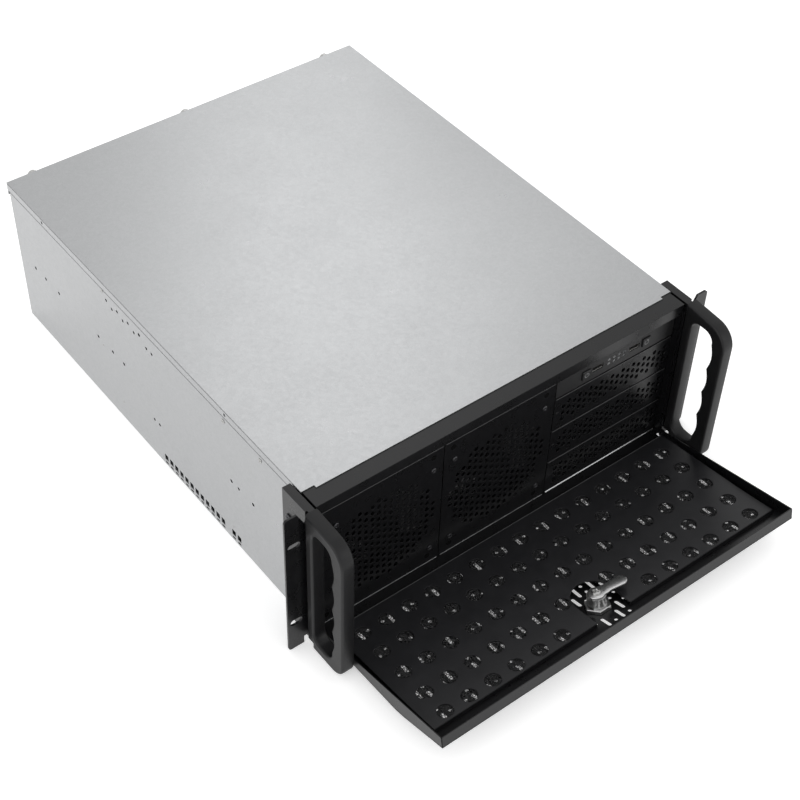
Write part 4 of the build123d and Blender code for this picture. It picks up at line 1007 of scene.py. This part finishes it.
class CASE_OT_usb_sockets(bpy.types.Operator):
    """Drawn shells of the two sockets, set back in the strip, each with its tongue"""
    bl_idname = "case.usb_sockets"
    bl_label = "USB sockets"

    def execute(self, context):
        wall, lip, edge = 0.4, 0.9, 0.1
        for i in (1, 2):
            low, high = node_box(f"usb_socket_{i}")
            deep = high.y - low.y - lip
            middle = (low.z + high.z) / 2
            inner = box_loop(low.x + wall, high.x - wall, low.z + wall, high.z - wall)
            shell = sheet("shell", box_loop(low.x, high.x, low.z, high.z), [inner[::-1]], deep, edge)
            back = sheet("back", inner, [], 0.5)
            bar = box_loop(low.x + 1.2, high.x - 1.2, middle + 0.1, middle + 1.9)
            tongue = sheet("tongue", bar, [], deep - 1.2, edge)
            name = f"usb_shell_{i}"
            parts = [front_sheet(shell, high.y), front_sheet(back, high.y)]
            piece(name, joined(name, parts), "socket", "chassis", [f"usb_socket_{i}"])
            piece(f"usb_tongue_{i}", front_sheet(tongue, high.y), "plastic", "chassis")
        return {"FINISHED"}


class CASE_OT_icons(bpy.types.Operator):
    """Printed marks on the buttons: a ring with a bar, and a ring with an arrow head"""
    bl_idname = "case.icons"
    bl_label = "Button marks"

    def execute(self, context):
        outer, inner, thick, set_back = 2.7, 2.1, 0.12, 0.04
        for name, bar in (("power_button", True), ("reset_button", False)):
            face = node_box(name)[0].y + set_back
            cx, cz = node_middle(name)
            band = arc(cx, cz, outer, 125, 415, 24) + arc(cx, cz, inner, 415, 125, 24)
            if bar:
                mark = box_loop(cx - 0.3, cx + 0.3, cz + 0.4, cz + 3.2)
            else:
                mark = [(cx + 0.2, cz + 3.6), (cx + 0.2, cz + 1.4), (cx + 2.0, cz + 2.5)]
            marks = [front_sheet(sheet("mark", outline, [], thick), face) for outline in (band, mark)]
            piece(f"{name}_mark", joined(f"{name}_mark", marks), "ink", name)
        return {"FINISHED"}


def heads(name, head, spots, finish, replaced=()):
    """Sets a screw's head at spots given as point, direction and turn, as one piece."""
    made = joined(name, [placed(head, facing(*spot)) for spot in spots])
    piece(name, made, finish, "chassis", replaced, 40)


class CASE_OT_screws(bpy.types.Operator):
    """Cross-recessed heads of the fan and ear screws, and of the screws in the sides"""
    bl_idname = "case.screws"
    bl_label = "Screws"

    def execute(self, context):
        spots = []
        for place in ("left", "centre"):
            cx, cz = node_middle(f"fan_frame_{place}")
            for i, (sx, sz) in enumerate(CORNERS):
                spots.append(((cx + FAN_SCREW * sx, -13.0, cz + FAN_SCREW * sz), (0, -1, 0), 0.7 * i))
        heads("fan_screw_heads", cross_head(2.9, 1.6, 1.0), spots, "dark_screw", ["fan_screws"])

        spots = []
        for side in (-1, 1):
            for i, z in enumerate((30, 87, 144)):
                spots.append(((side * 220.5, 5, z), (side, 0, 0), 0.5 * i))
        heads("ear_screw_heads", cross_head(3.6, 1.8, 1.0), spots, "dark_screw", ["ear_screws"])

        spots = []
        for side in (-1, 1):
            for y, z, x in ((324.2, 162.6, 211.0), (120.2, 156.6, 209.9), (62.6, 156.4, 209.9)):
                spots.append(((side * x, y, z), (side, 0, 0), 0.3))
        heads("side_rivet_screws", cross_head(2.4, 0.9, 0.6), spots, "screw")
        return {"FINISHED"}


class CASE_PT_panel(bpy.types.Panel):
    """Lists the steps that dress the case"""
    bl_idname = "CASE_PT_panel"
    bl_label = "Rack case"
    bl_space_type = "VIEW_3D"
    bl_region_type = "UI"
    bl_category = "Rack case"

    def draw(self, context):
        for step in STEPS:
            self.layout.operator(step.bl_idname)
        for group in (context.scene.case_sizes, context.scene.case_colours):
            box = self.layout.box()
            for name in settings(group):
                box.prop(group, name)


STEPS = [
    CASE_OT_stage, CASE_OT_finishes, CASE_OT_fan_grids, CASE_OT_bay_covers, CASE_OT_door_skin,
    CASE_OT_door_plate, CASE_OT_handles, CASE_OT_lock, CASE_OT_folds, CASE_OT_cover_lines,
    CASE_OT_usb_sockets, CASE_OT_icons, CASE_OT_screws,
]
CLASSES = [CaseSizes, CaseColours, *STEPS, CASE_PT_panel]


def register():
    for kind in CLASSES:
        bpy.utils.register_class(kind)
    bpy.types.Scene.case_sizes = PointerProperty(type=CaseSizes)
    bpy.types.Scene.case_colours = PointerProperty(type=CaseColours)


def unregister():
    del bpy.types.Scene.case_sizes
    del bpy.types.Scene.case_colours
    for kind in reversed(CLASSES):
        bpy.utils.unregister_class(kind)


def main():
    register()
    bpy.ops.case.stage()
    bpy.ops.case.finishes()
    bpy.ops.case.fan_grids()
    bpy.ops.case.bay_covers()
    bpy.ops.case.door_skin()
    bpy.ops.case.door_plate()
    bpy.ops.case.handles()
    bpy.ops.case.lock()
    bpy.ops.case.folds()
    bpy.ops.case.cover_lines()
    bpy.ops.case.usb_sockets()
    bpy.ops.case.icons()
    bpy.ops.case.screws()


if __name__ == "__main__":
    main()
